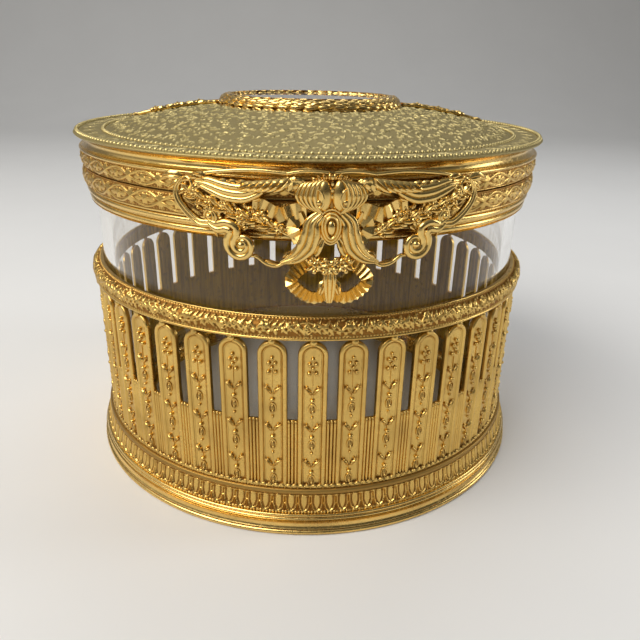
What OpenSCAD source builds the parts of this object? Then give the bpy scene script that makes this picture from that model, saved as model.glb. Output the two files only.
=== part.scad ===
// Round glass casket with gilt brass mounts: a clear glass cup stands in a
// pierced gallery on a moulded foot, under a hinged lid with a cast front mount.
// Millimetres. Origin: centre of the foot, on the table. +Z up, front towards -Y,
// hinge at +Y.

/* [Glass cup] */
// Outside diameter of the clear glass cup
glass_d = 137; // [110:1:160]
// Thickness of the glass wall
glass_wall = 3; // [2:0.1:5]
// Thickness of the glass floor
glass_floor = 5; // [3:0.1:8]
// Radius between the floor and the wall inside the cup
glass_cove = 3; // [1:0.5:6]
// Height of bare glass between the gallery band and the collar
bare_h = 19.1; // [10:0.1:40]

/* [Foot] */
// How far the foot stands out beyond the glass
foot_flare = 6.5; // [5.8:0.1:10]
// Height of the stepped mouldings below the leaf frieze
foot_h = 6.4; // [6:0.1:10]
// Thickness of the ledge that carries the glass
seat_t = 1.2; // [0.8:0.1:2]
// Width of the ledge that carries the glass
seat_w = 7; // [4:0.5:12]
// Thickness of the sleeve round the bottom of the glass
sleeve_t = 1.6; // [1.2:0.1:2]
// Height of the leaf frieze
leaf_h = 5.5; // [4:0.1:8]
// Leaves of the frieze under each pale
leaves_per_pale = 3; // [2:1:4]
// Depth of the cuts between the leaves
leaf_cut = 0.5; // [0.2:0.05:0.8]
// Height of the plain fillet above the leaf frieze
fillet_h = 1.6; // [1:0.1:3]
// How far the fillet stands out beyond the glass
fillet_out = 3.5; // [3.2:0.1:4]

/* [Gallery] */
// Number of round-arched pales round the gallery
pales = 42; // [30:1:48]
// Turn of the pales and the leaves from having a slit at the very front
gallery_turn = 1.6; // [0:0.1:8.5]
// Height of a pale from the fillet to the crown of its arch
pale_h = 45.6; // [35:0.1:60]
// Height of the closed reeded part below the slits
dado_h = 21.4; // [12:0.1:28]
// Width of the open slit between two pales
slit_w = 2.8; // [2:0.1:4]
// Width of the bridge that joins an arch to the strip above it
bridge_w = 1.8; // [1.2:0.1:3]
// Air space between the glass and the back of the gallery
gallery_gap = 1.1; // [0.6:0.1:1.4]
// Thickness of the gallery at the raised borders
gallery_t = 1.4; // [1.2:0.05:1.6]
// Width of the raised border round a pale
border_w = 1.35; // [1:0.05:1.8]
// Depth of the sunk panel inside the border
panel_depth = 0.4; // [0.2:0.05:0.6]
// Diameter of the grooves between the reeds
reed_groove = 0.7; // [0.4:0.05:0.8]

/* [Gallery band] */
// Height of the foliate band above the pales
band_h = 5.9; // [4.5:0.1:9]
// Thickness of the band outside the gallery
band_t = 0.5; // [0.4:0.05:1]
// How far the band swells beyond its edges
band_swell = 0.8; // [0.3:0.05:1.2]
// Height of the curled-in top of the band
band_lip = 1.4; // [1:0.1:2]

/* [Collar] */
// Height of the collar round the mouth of the glass
collar_h = 10; // [9:0.1:14]
// How far the collar mouldings stand out beyond the glass
collar_out = 2.4; // [2:0.1:3]
// Height of the convex frieze at the top of the collar
collar_frieze_h = 5.2; // [4:0.1:6]
// How far the collar frieze swells beyond its edges
collar_swell = 0.9; // [0.4:0.05:1.2]
// Thickness of the collar over the glass rim
collar_top = 1.5; // [1:0.1:2.5]
// Thickness of the lip inside the glass
inner_lip_t = 0.8; // [0.6:0.1:1.2]
// Depth of the lip inside the glass
inner_lip_h = 4; // [2:0.5:6]

/* [Lid] */
// Open seam between the collar and the lid
seam = 0.4; // [0.3:0.05:1]
// Height of the convex frieze at the bottom of the lid
lid_frieze_h = 4.2; // [3.5:0.1:6]
// How far the lid frieze swells beyond its edges
lid_swell = 0.8; // [0.3:0.05:1.2]
// Height of the bead above the lid frieze
lid_bead_h = 0.9; // [0.6:0.1:1.5]
// Height of the polished cove under the rim
cove_h = 3.3; // [2.5:0.1:6]
// Depth of the hollow of the cove
cove_hollow = 0.9; // [0.4:0.05:1.2]
// Wall of the lid's sides
lid_wall = 2; // [1.8:0.1:2.6]
// How far the rim of the top plate overhangs the cove
rim_overhang = 2; // [1.4:0.1:3]
// Thickness of the top plate
plate_t = 0.8; // [0.6:0.05:1.2]
// Width of the flat margin between the rim and the dome
margin_w = 9; // [6:0.5:14]
// Rise of the dome above the flat margin
dome_rise = 6.6; // [4:0.1:12]
// Bow of the dome beyond a straight cone
dome_bow = 1.1; // [0.4:0.1:1.6]
// Diameter of the bead wire on the rim
rim_bead_d = 1.1; // [0.8:0.05:1.5]
// Diameter of the bead wire inside the margin
inner_bead_d = 1; // [0.7:0.05:1.4]

/* [Medallion] */
// Outside diameter of the wreath frame on the dome
frame_d = 58.6; // [50:0.2:66]
// Width of the wreath frame
frame_w = 5; // [4:0.1:7]
// Height of the wreath frame
frame_h = 3.4; // [2.5:0.1:4.5]
// Leaf bundles round the wreath
frame_leaves = 36; // [24:2:48]
// Thickness of the plaque inside the frame
plaque_t = 1.2; // [0.8:0.1:1.6]
// Thickness of the bevelled glass over the plaque
crystal_t = 1.4; // [1:0.1:1.6]

/* [Sprays on the dome] */
// Length of each ribbon spray, from the wreath outwards
spray_len = 27; // [20:0.5:28]
// Width of a spray at its leaves
spray_w = 12; // [8:0.5:16]

/* [Front mount] */
// Clear space between the front mount and the collar
mount_clear = 0.6; // [0.4:0.05:1]
// Half the length of the garland, measured along the lid
mount_reach = 41.5; // [36:0.5:46]
// Drop of the pendant bow below the seam
mount_drop = 25.5; // [20:0.5:28]
// Diameter of the studs that hold the mount to the lid
stud_d = 2; // [1.6:0.1:2.4]
// Clearance round the studs
stud_clear = 0.1; // [0.05:0.01:0.2]

/* [Hinge] */
// Width of the hinge along its pin
hinge_w = 24; // [16:0.5:34]
// Outside diameter of the knuckles
knuckle_d = 4.2; // [3.6:0.1:5]
// Diameter of the hinge pin
pin_d = 1.8; // [1.4:0.1:2.2]
// Radial clearance between the pin and the knuckles
pin_clear = 0.04; // [0.02:0.01:0.1]
// Gap between neighbouring knuckles
knuckle_gap = 0.3; // [0.2:0.05:0.6]
// Distance from the collar frieze to the knuckles
hinge_stand = 0.9; // [0.7:0.1:1.5]
// Thickness of the hinge leaves outside the friezes
leaf_plate_t = 1; // [0.8:0.1:1.2]
// Diameter of the hinge rivets
rivet_d = 1.6; // [1.2:0.1:2]
// Clearance round the hinge rivets
rivet_clear = 0.1; // [0.05:0.01:0.2]

/* [Hidden] */

gilt = "goldenrod";
dull_gilt = "darkgoldenrod";
polished = "gold";

// Clearance between rings that nest in one another
nest = 0.05;

// Heights, from the table upwards
z_leaf = foot_h;
z_fillet = z_leaf + leaf_h;
z_gallery = z_fillet + fillet_h;
z_slit = z_gallery + dado_h;
z_crown = z_gallery + pale_h;
z_band = z_crown;
z_band_top = z_band + band_h;
z_collar = z_band_top + bare_h;
z_mouth = z_collar + collar_h;
z_glass_top = z_mouth - collar_top;
z_lid = z_mouth + seam;
z_lid_bead = z_lid + lid_frieze_h;
z_cove = z_lid_bead + lid_bead_h;
z_plate = z_cove + cove_h;
z_margin = z_plate + plate_t;

// Radii, from the glass outwards
r_glass = glass_d / 2;
r_mouth = r_glass - glass_wall;
r_fit = r_glass + nest;
r_sleeve = r_glass + sleeve_t;
r_foot = r_glass + foot_flare;
r_fillet = r_glass + fillet_out;
r_gallery = r_glass + gallery_gap + gallery_t;
r_band = r_gallery + nest + band_t;
r_collar = r_glass + collar_out;
r_frieze = r_collar + collar_swell;
r_lid = r_collar + 0.2;
r_lid_frieze = r_lid + lid_swell;
r_cove = r_lid - 0.1;
r_rim = r_cove + rim_overhang;
r_dome = r_rim - margin_w;
r_frame = frame_d / 2;
r_plaque = r_frame - frame_w;
r_mount = max(r_frieze, r_lid_frieze) + mount_clear;

// --- Profile helpers -------------------------------------------------------

// Points of an arc about (cx, cz), angles in degrees, n steps
function arc(cx, cz, r, a0, a1, n) =
  [for (i = [0 : n]) let (a = a0 + (a1 - a0) * i / n) [cx + r * cos(a), cz + r * sin(a)]];

// Arc from (r, z0) up to (r, z1) that swells outwards (or, with a minus sign, inwards)
function swell_arc(r, z0, z1, swell, n = 10) =
  let (c = (z1 - z0) / 2, s = abs(swell), rad = (c * c + s * s) / (2 * s), h = asin(c / rad))
  swell > 0
    ? arc(r + s - rad, z0 + c, rad, -h, h, n)
    : arc(r - s + rad, z0 + c, rad, 180 + h, 180 - h, n);

module ring(profile) {
  rotate_extrude($fn = 180) polygon(profile);
}

module tube(r_in, r_out, z0, z1) {
  translate([0, 0, z0]) difference() {
    cylinder(r = r_out, h = z1 - z0, $fn = 180);
    translate([0, 0, -1]) cylinder(r = r_in, h = z1 - z0 + 2, $fn = 180);
  }
}

// Turns a shape drawn in X (across) and Y (up) to stand on the wall of radius r
module on_wall(angle, r, depth) {
  rotate([0, 0, angle]) translate([r, 0, 0]) rotate([90, 0, 90])
    linear_extrude(depth) children();
}

// --- Foot and leaf frieze --------------------------------------------------

bead_h = 1;
cavetto_h = foot_h - 2 * bead_h - 2;

module foot_ring() {
  color(gilt) difference() {
    ring(concat(
      [[r_glass - seat_w, 0], [r_foot - 0.6, 0]],
      arc(r_foot - 0.75, 0.75, 0.75, -78, 90, 8),
      [[r_foot - 1.1, 1.5], [r_foot - 1.1, 1.8], [r_foot - 0.5, 1.8]],
      swell_arc(r_foot - 0.5, 1.9, 1.9 + cavetto_h, -0.5, 8),
      [[r_foot - 1.2, 2 + cavetto_h]],
      arc(r_foot - 1.3, 2 + cavetto_h + bead_h / 2, bead_h / 2, -80, 80, 8),
      [[r_foot - 1.5, 2 + cavetto_h + bead_h]],
      arc(r_foot - 1.5, foot_h - bead_h / 2, bead_h / 2, -80, 80, 8),
      [[r_foot - 1.6, foot_h], [r_sleeve, foot_h], [r_sleeve, z_gallery], [r_fit, z_gallery],
       [r_fit, seat_t], [r_glass - seat_w, seat_t]]
    ));
    // the underside is hollow, as a spun moulding is
    tube(r_sleeve + 0.6, r_foot - 2.2, -1, foot_h - 2.4);
  }
}

leaf_count = pales * leaves_per_pale;
leaf_foot = r_foot - 1.6;
leaf_head = r_fillet + 0.1;

module leaf_frieze() {
  color(gilt) difference() {
    ring([[r_sleeve + nest, z_leaf], [leaf_foot, z_leaf],
          [leaf_foot, z_leaf + 0.6], [leaf_head, z_fillet], [r_sleeve + nest, z_fillet]]);
    // a dart between every two leaves leaves their tips free
    for (i = [0 : leaf_count - 1])
      on_wall(gallery_turn + (i + 0.5) * 360 / leaf_count, leaf_foot - leaf_cut - 0.4, 3)
        polygon([[-0.9, z_leaf - 0.1], [0.9, z_leaf - 0.1], [0, z_fillet - 0.6]]);
  }
}

module fillet_ring() {
  color(polished)
    ring(concat([[r_sleeve + nest, z_fillet]],
      swell_arc(r_fillet, z_fillet, z_gallery, 0.3, 6),
      [[r_sleeve + nest, z_gallery]]));
}

// --- Gallery ---------------------------------------------------------------

pitch_deg = 360 / pales;
pitch = 2 * r_gallery * sin(pitch_deg / 2);
pale_w = pitch - slit_w;
arch_r = pale_w / 2;
z_spring = z_crown - arch_r;
z_strip = z_band_top - band_lip;

// Open slit with a square foot, between two arches
module slit_shape() {
  difference() {
    translate([-(pitch - bridge_w) / 2, z_slit]) square([pitch - bridge_w, z_crown - z_slit]);
    for (side = [-1, 1]) {
      translate([side * pitch / 2, z_spring]) circle(arch_r, $fn = 48);
      translate([side * pitch / 2 - arch_r, z_slit - 1])
        square([pale_w, z_spring - z_slit + 1]);
    }
  }
}

// Sunk panel of a pale, with a round head
module panel_shape() {
  w = pale_w - 2 * border_w;
  translate([-w / 2, z_gallery + 0.8]) square([w, z_spring - z_gallery - 0.8]);
  translate([0, z_spring]) circle(w / 2, $fn = 40);
}

module gallery() {
  color(gilt) difference() {
    tube(r_glass + gallery_gap, r_gallery, z_gallery, z_strip);
    for (i = [0 : pales - 1]) {
      pale_deg = gallery_turn + i * pitch_deg;
      slit_deg = pale_deg + pitch_deg / 2;
      on_wall(slit_deg, r_glass, 6) slit_shape();
      on_wall(pale_deg, r_gallery - panel_depth, 3) panel_shape();
      // two grooves leave three reeds under each slit
      for (side = [-1, 1])
        rotate([0, 0, slit_deg]) translate([r_gallery, side * slit_w / 6, z_gallery + 0.6])
          cylinder(d = reed_groove, h = dado_h - 1.4, $fn = 16);
    }
  }
}

module gallery_band() {
  color(gilt)
    ring(concat(
      [[r_gallery + nest, z_band], [r_band, z_band]],
      swell_arc(r_band, z_band + 0.6, z_strip, band_swell, 10),
      [[r_gallery - 0.1, z_strip + 0.3]],
      arc(r_fit + 0.7, z_band_top - 0.6, 0.6, 0, 90, 5),
      [[r_fit, z_band_top], [r_fit, z_strip], [r_gallery + nest, z_strip]]
    ));
}

// --- Glass -----------------------------------------------------------------

module glass_cup() {
  color("azure", 0.35)
    ring(concat(
      [[0, seat_t], [r_glass - 1, seat_t]],
      arc(r_glass - 1, seat_t + 1, 1, -90, 0, 5),
      [[r_glass, z_glass_top], [r_mouth, z_glass_top]],
      arc(r_mouth - glass_cove, seat_t + glass_floor + glass_cove, glass_cove, 0, -90, 8),
      [[0, seat_t + glass_floor]]
    ));
}

// --- Collar ----------------------------------------------------------------

z_cfrieze = z_mouth - collar_frieze_h;
moulding_h = (collar_h - collar_frieze_h) / 3;
frieze_bed = r_collar - 0.8;

module rivet_bore(angle, z, r_in, len, d) {
  rotate([0, 0, angle]) translate([r_in, 0, z]) rotate([0, 90, 0])
    cylinder(d = d, h = len, $fn = 24);
}

rivet_x = hinge_w / 2 - 4;
z_rivet_body = z_collar + moulding_h * 1.6;
z_rivet_lid = z_lid + lid_frieze_h / 2;
rivet_deg = asin(rivet_x / r_collar);

module collar() {
  color(gilt) difference() {
    ring(concat(
      [[r_fit, z_collar], [r_collar - 1.1, z_collar], [r_collar - 0.9, z_collar + 0.4]],
      arc(r_collar - moulding_h / 2 - 0.4, z_collar + 0.5 + moulding_h / 2, moulding_h / 2, -80, 80, 8),
      [[r_collar - 1.1, z_collar + 0.6 + moulding_h], [r_collar - 1.1, z_collar + 0.9 + moulding_h]],
      arc(r_collar - moulding_h / 2, z_collar + 1 + 1.5 * moulding_h, moulding_h / 2, -80, 80, 8),
      [[r_collar - 0.9, z_collar + 1.1 + 2 * moulding_h], [r_collar - 0.3, z_cfrieze - 0.3],
       [r_collar - 0.3, z_cfrieze], [frieze_bed, z_cfrieze],
       [frieze_bed, z_mouth], [r_mouth - nest - inner_lip_t, z_mouth],
       [r_mouth - nest - inner_lip_t, z_glass_top - inner_lip_h],
       [r_mouth - nest, z_glass_top - inner_lip_h],
       [r_mouth - nest, z_glass_top], [r_fit, z_glass_top]]
    ));
    for (side = [-1, 1])
      rivet_bore(90 + side * rivet_deg, z_rivet_body, r_fit + 0.4, 4, rivet_d + rivet_clear);
  }
}

// Outer line of the collar frieze
function collar_frieze_line(grow = 0) = swell_arc(r_collar + grow, z_cfrieze, z_mouth, collar_swell, 10);

module collar_frieze() {
  color(gilt) ring(concat([[frieze_bed + nest, z_cfrieze]], collar_frieze_line(),
    [[frieze_bed + nest, z_mouth]]));
}

// --- Lid -------------------------------------------------------------------

r_lid_in = r_lid - lid_wall;

function lid_frieze_line(grow = 0) = swell_arc(r_lid + grow, z_lid, z_lid_bead, lid_swell, 10);
function cove_line(grow = 0) = swell_arc(r_cove + grow, z_cove, z_plate, -cove_hollow, 8);

module lid_frieze() {
  color(gilt) difference() {
    ring(concat([[r_lid_in, z_lid]], lid_frieze_line(), [[r_lid_in, z_lid_bead]]));
    for (side = [-1, 1])
      rivet_bore(90 + side * rivet_deg, z_rivet_lid, r_lid_in - 1, 6, rivet_d + rivet_clear);
    for (s = stud_arcs)
      rivet_bore(-90 + mount_deg(s), z_stud, r_lid_in - 1, 6, stud_d + 2 * stud_clear);
  }
}

module lid_bead() {
  color(polished) ring(concat(
    [[r_lid_in, z_lid_bead]],
    arc(r_lid + lid_swell - lid_bead_h / 2, z_lid_bead + lid_bead_h / 2, lid_bead_h / 2, -90, 90, 8),
    [[r_lid_in, z_cove]]));
}

module lid_cove() {
  color(polished) ring(concat([[r_lid_in, z_cove]], cove_line(), [[r_lid_in, z_plate]]));
}

// Height of the upper face of the dome at radius r
function dome_z(r) =
  let (t = (r_dome - min(max(r, r_frame), r_dome)) / (r_dome - r_frame))
  z_margin + dome_rise * t + dome_bow * 4 * t * (1 - t);

dome_steps = 12;

// Upper line of the dome from the margin to the middle, lift above it
function dome_line(lift = 0) = concat(
  [for (i = [0 : dome_steps]) let (r = r_dome + (r_frame + 1 - r_dome) * i / dome_steps)
    [r, dome_z(r) + lift]],
  [[0, dome_z(r_frame + 1) + lift]]);

module lid_plate() {
  under = dome_line(-plate_t);
  color(dull_gilt) ring(concat(
    [[r_lid_in, z_plate], [r_rim - 0.3, z_plate], [r_rim, z_plate + plate_t / 2],
     [r_rim - 0.3, z_margin]],
    dome_line(),
    [for (i = [len(under) - 1 : -1 : 0]) under[i]]));
}

z_seat = dome_z(r_frame + 1);

// A wire half let into the plate shows as a rounded line
module half_wire(r, d, z) {
  ring(arc(r, z, d / 2, 0, 180, 10));
}

module rim_beading() {
  color(polished) half_wire(r_rim - rim_bead_d / 2 - 0.3, rim_bead_d, z_margin);
}

module inner_beading() {
  color(polished) half_wire(r_dome + inner_bead_d / 2 + 0.2, inner_bead_d, z_margin);
}

// --- Medallion -------------------------------------------------------------

module medallion_frame() {
  r0 = r_frame - frame_w;
  color(gilt) difference() {
    ring(concat(
      [[r0, z_seat], [r_frame - 0.4, z_seat]],
      arc(r_frame - frame_h / 2, z_seat + frame_h / 2, frame_h / 2, -60, 90, 10),
      [[r0 + 1.1, z_seat + frame_h], [r0 + 0.9, z_seat + frame_h - 0.5],
       [r0, z_seat + frame_h - 0.7]]));
    // slanting cuts part the wreath into bundles of leaves
    for (i = [0 : frame_leaves - 1])
      rotate([0, 0, i * 360 / frame_leaves]) translate([r_frame - frame_w + 1.2, 0, z_seat + frame_h + 0.1])
        rotate([0, 90, 28]) cylinder(d = 0.9, h = frame_w + 1, $fn = 16);
  }
}

module medallion_plaque() {
  color("ivory") translate([0, 0, z_seat]) cylinder(r = r_plaque - nest, h = plaque_t, $fn = 180);
}

module medallion_glass() {
  z0 = z_seat + plaque_t;
  color("azure", 0.35) ring([
    [0, z0], [r_plaque - nest, z0], [r_plaque - nest, z0 + crystal_t * 0.45],
    [r_plaque - 1.6, z0 + crystal_t], [0, z0 + crystal_t]]);
}

// --- Swept scrolls and leaves ----------------------------------------------

// Place on the lid's front: s along the wall from the middle, z height, h outwards
function mount_deg(s) = s / r_mount * 180 / PI;
on_front = function(p) let (a = mount_deg(p[0])) [
  (r_mount + p[2]) * sin(a), -(r_mount + p[2]) * cos(a), p[1]];

// Place on the dome: u outwards from the axis, v across, h above the dome
on_dome = function(p) [p[0], p[1], dome_z(norm([p[0], p[1]])) + p[2]];

function bezier(a, b, c, d, n) = [for (i = [0 : n]) let (t = i / n, u = 1 - t)
  u * u * u * a + 3 * u * u * t * b + 3 * u * t * t * c + t * t * t * d];

// Spiral about centre c, from radius r0 at angle a0 to radius r1 after some turns
function volute(c, r0, r1, a0, turns, n) = [for (i = [0 : n])
  let (t = i / n, a = a0 + 360 * turns * t, r = r0 + (r1 - r0) * t) c + r * [cos(a), sin(a)]];

function unit(v) = v / max(norm(v), 1e-6);

// Flat-oval bar swept along path; w and t are its half width and half thickness in
// the middle, taper is what is left of them at the ends, lift its height off the bed.
// A wave above 0 widens every second ring, which gives the bar a leafy edge.
module sweep(path, w, t, lift, place, taper = 0.45, wave = 0, sides = 6) {
  n = len(path) - 1;
  pts = [for (i = [0 : n])
    let (d = unit(path[min(i + 1, n)] - path[max(i - 1, 0)]),
         k = taper + (1 - taper) * sin(180 * i / n),
         e = w * k + (i % 2 == 1 ? wave : 0))
    for (j = [0 : sides - 1]) let (a = 360 * (j + 0.5) / sides)
      place([path[i][0] - d[1] * e * cos(a), path[i][1] + d[0] * e * cos(a),
             lift + t * k * sin(a)])];
  side_faces = [for (i = [0 : n - 1], j = [0 : sides - 1])
    let (a = i * sides + j, b = i * sides + (j + 1) % sides)
    each [[a, b + sides, b], [a, a + sides, b + sides]]];
  caps = [[for (j = [0 : sides - 1]) j], [for (j = [sides - 1 : -1 : 0]) n * sides + j]];
  polyhedron(pts, concat(side_faces, caps), convexity = 8);
}

// Ridged leaf from p towards angle a, with its spine raised
module leaf(p, a, len, w, lift, place, ridge = 0.8) {
  d = [cos(a), sin(a)];
  s = [-sin(a), cos(a)];
  mid = p + d * len * 0.45;
  pts = [for (q = [[p, lift], [mid + s * w / 2, lift], [p + d * len, lift + 0.2],
                   [mid - s * w / 2, lift], [mid, lift + ridge], [mid, lift - 0.5]])
    place([q[0][0], q[0][1], q[1]])];
  polyhedron(pts, [[0, 1, 4], [1, 2, 4], [2, 3, 4], [3, 0, 4],
                   [0, 5, 1], [1, 5, 2], [2, 5, 3], [3, 5, 0]]);
}

// Round whorl or rosette: petals about a raised button, with hollows between them.
// waist is the radius left in a hollow, as a share of r.
module whorl(p, r, petals, lift, place, rise = 1, waist = 0.6) {
  n = 2 * petals;
  rim = [for (i = [0 : n - 1]) let (a = i * 360 / n + 90, k = i % 2 == 0 ? 1 : waist)
    place([p[0] + r * k * cos(a), p[1] + r * k * sin(a), lift])];
  crown = [for (i = [0 : n - 1]) let (a = i * 360 / n + 90)
    place([p[0] + 0.62 * r * cos(a), p[1] + 0.62 * r * sin(a),
           lift + (i % 2 == 0 ? rise : 0.45 * rise)])];
  eye = [place([p[0], p[1], lift + 0.8 * rise]), place([p[0], p[1], lift - 0.6])];
  faces = [for (i = [0 : n - 1]) let (j = (i + 1) % n)
    each [[i, n + i, n + j], [i, n + j, j], [n + i, 2 * n, n + j], [i, j, 2 * n + 1]]];
  polyhedron(concat(rim, crown, eye), faces, convexity = 6);
}

// --- Front mount -----------------------------------------------------------

z_stud = z_lid + lid_frieze_h * 0.45;
stud_arcs = [-30, -8, 8, 30];
stretch = mount_reach / 41.5;
drop = mount_drop / 25.5;

// The castings are soldered where they meet: the centre and a garland on an upright
// joint at s_joint, the centre and the pendant across the stem at stem_joint
s_joint = 9.8;
stem_joint = -13.2;

// Design point: s along the garland, z below (-) or above (+) the seam
function at(s, z) = [s * (abs(s) > 12 ? stretch : 1), z_mouth + z * (z < 0 ? drop : 1)];

module stud(s) {
  rotate([0, 0, -90 + mount_deg(s)]) translate([r_lid_in - 3, 0, z_stud]) rotate([0, 90, 0])
    cylinder(d = stud_d, h = r_mount + 0.9 - r_lid_in + 3, $fn = 10);
}

// Everything on side m beyond the upright joint
module beyond(m) {
  mirror([m < 0 ? 1 : 0, 0, 0]) rotate([0, 0, mount_deg(s_joint)])
    translate([0, -r_mount * 2, 0]) cube([r_mount * 2, r_mount * 2, z_margin]);
}

// Rail that carries the swag, from the shells to the end of the garland
module rail(m) {
  sweep(bezier(at(m * 1, 3.4), at(m * 14, 4.4), at(m * 28, 3), at(m * 36.5, 0.5), 12),
    0.85, 0.8, 0.4, on_front, 0.7);
}

// Folded ribbon behind the shells, with an end that falls
module ribbon(m) {
  sweep([at(m * 4.5, -4.4), at(m * 8, -5.2), at(m * 11, -3.6), at(m * 14, -5.2),
         at(m * 17, -3.6), at(m * 20.5, -1.4)],
    1.5, 0.7, 1, on_front, 0.8);
  sweep([at(m * 5, -4.6), at(m * 7.6, -6.8), at(m * 6.4, -8.8), at(m * 7.6, -10.6)],
    1.3, 0.7, 1.3, on_front, 0.8);
}

// Tendril from the large volute to the tip of the leg
module tendril(m) {
  sweep(bezier(at(m * 18.4, -13.6), at(m * 14.6, -17), at(m * 9.6, -15.8), at(m * 5.2, -11.6), 10),
    0.5, 0.6, 0.7, on_front, 0.8);
}

// Flowering branch across the garland
branch_path = function(m)
  bezier(at(m * 5.2, -12.6), at(m * 12, -8), at(m * 22, -4.6), at(m * 34, -0.6), 16);

module branch(m) {
  sweep(branch_path(m), 0.5, 0.75, 0.6, on_front, 0.8, 0.9);
}

// Acanthus leg beside the oval boss
module leg(m) {
  sweep(bezier(at(m * 1.4, -2.8), at(m * 5.4, -6), at(m * 3, -10), at(m * 9.4, -13.6), 9),
    1.5, 1.1, 0.9, on_front, 0.35);
}

// Stretch of the stem that the centre and the pendant share, z0 and z1 below the seam
module stem(z0, z1) {
  sweep([for (i = [0 : 4]) at(0, z0 + (z1 - z0) * i / 4)], 1.3, 1, 0.6, on_front, 1);
}

// Two ribbed whorls side by side over an oval boss with spreading legs
module mount_centre() {
  color(polished) difference() {
    union() {
      for (m = [-1, 1]) {
        whorl(at(m * 4.4, -0.9), 4.5, 9, 0.5, on_front, 2.2, 0.86);
        rail(m);
        ribbon(m);
        tendril(m);
        branch(m);
        leg(m);
        stud(m * 8);
      }
      sweep([for (i = [0 : 8]) at(0, -3.4 - i * 0.82)], 2.5, 1.4, 0.8, on_front, 0.3);
      sweep([for (i = [0 : 8]) at(0, -4 - i * 0.7)], 1.1, 2.2, 0.8, on_front, 0.3);
      stem(4, stem_joint);
    }
    beyond(-1);
    beyond(1);
  }
}

// One side of the garland, on the right
module garland() {
  intersection() {
    union() {
      rail(1);
      ribbon(1);
      tendril(1);
      branch(1);
      // swag of leaves along the top
      sweep(bezier(at(7.5, 2.6), at(14, 3.6), at(20, -4), at(27.5, 2), 18),
        1, 1.2, 0.6, on_front, 0.8, 0.9);
      // C-scroll at the end, with its two volutes
      sweep(volute(at(33.2, -0.9), 0.7, 1.9, 120, 0.75, 8), 0.6, 1, 0.9, on_front, 0.7);
      sweep(concat(
        bezier(at(34.4, 0.2), at(38.4, -3.4), at(36, -9), at(30.4, -8.5), 7),
        volute(at(29, -6.1), 2.5, 0.9, -70, -0.95, 10)),
        0.75, 1, 0.9, on_front, 0.55);
      // S-scroll with the large volute
      sweep(concat(
        bezier(at(28.6, -6.6), at(25.6, -7), at(23, -8.4), at(21.2, -9.4), 6),
        volute(at(19.2, -11.6), 2.6, 0.9, 48, -1, 11)),
        0.9, 1.1, 0.9, on_front, 0.5);
      leaf(at(28.6, -7.6), -110, 4, 1.7, 0.7, on_front);
      for (p = [[12.4, -8.6], [17.4, -6.8], [22.6, -4.6], [27, -2.4], [31.4, 1.2]])
        whorl(at(p[0], p[1]), 1.8, 5, 0.9, on_front, 1, 0.5);
      // leaf that ends the garland
      sweep(bezier(at(32, 1.6), at(36, 3.6), at(39, 1.6), at(41.5, -2), 7),
        1, 0.9, 0.6, on_front, 0.4);
      leaf(at(36.6, 1.8), 20, 4.4, 1.9, 0.5, on_front);
      stud(30);
    }
    beyond(1);
  }
}

module mount_garland_left() {
  color(polished) mirror([1, 0, 0]) garland();
}

module mount_garland_right() {
  color(polished) garland();
}

// Bow with two pleated loops, a bunch of flowers and a tail
module mount_pendant() {
  color(polished) {
    for (m = [-1, 1]) {
      sweep([for (i = [0 : 12]) let (a = 108 - i * 340 / 12)
          at(m * (5 + 3.9 * cos(a)), -18.7 + 3.2 * sin(a))],
        1.3, 1.1, 1, on_front, 0.8);
      whorl(at(m * 2.5, -15.2), 1.8, 5, 1.2, on_front, 1.2, 0.5);
      sweep([at(m * 0.4, -19.2), at(m * 1.6, -21.4), at(m * 4.4, -23.6)],
        1.2, 0.9, 0.8, on_front, 0.6);
    }
    whorl(at(0, -16.6), 2, 6, 1.3, on_front, 1.4, 0.5);
    stem(stem_joint, -21);
    leaf(at(0, -20), -90, 5.5, 3, 0.6, on_front);
  }
}

module mount_nuts() {
  color(polished) for (s = stud_arcs)
    rotate([0, 0, -90 + mount_deg(s)]) translate([r_lid_in - 1.8, 0, z_stud]) rotate([0, 90, 0])
      difference() {
        cylinder(d = stud_d * 2, h = 1.6, $fn = 6);
        translate([0, 0, -1]) cylinder(d = stud_d + 2 * stud_clear, h = 4, $fn = 24);
      }
}

// --- Sprays on the dome ----------------------------------------------------

// Ribbon spray from the wreath towards the margin, along +X, its underside fitted to the dome
module spray() {
  u0 = r_frame + 0.6;
  h = spray_w / 12;
  stem_path = [for (i = [0 : 18]) [u0 + i * spray_len / 18, 1.6 * h * sin(i * 360 / 18)]];
  difference() {
    union() {
      sweep(stem_path, 1 * h, 0.9, 0.7, on_dome, 0.6, 1.6 * h);
      sweep([for (i = [0 : 9]) [u0 + i * spray_len / 15, -2.6 * h * sin(i * 40)]],
        1.3 * h, 0.8, 0.8, on_dome, 0.6);
      for (i = [3 : 5 : 13])
        whorl(stem_path[i], 2.2 * h, 5, 0.7, on_dome, 1.2, 0.5);
      leaf(stem_path[16], 0, 4.4 * h, 2.4 * h, 0.6, on_dome);
    }
    ring(concat([[0, z_plate], [r_rim, z_plate], [r_rim, z_margin + nest]], dome_line(nest)));
  }
}

module dome_spray_right() {
  color(polished) spray();
}

module dome_spray_left() {
  color(polished) mirror([1, 0, 0]) spray();
}

// --- Hinge -----------------------------------------------------------------

y_hinge = r_frieze + hinge_stand + knuckle_d / 2;
z_hinge = z_mouth + seam / 2;
middle_w = hinge_w / 3;

module knuckle(x0, x1, d) {
  translate([x0, y_hinge, z_hinge]) rotate([0, 90, 0]) cylinder(d = d, h = x1 - x0, $fn = 48);
}

module leaf_block(z0, z1) {
  intersection() {
    tube(r_collar - 3, max(r_frieze, r_lid_frieze) + leaf_plate_t, z0, z1);
    translate([-hinge_w / 2, 0, z0 - 1]) cube([hinge_w, 200, z1 - z0 + 2]);
  }
}

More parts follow.
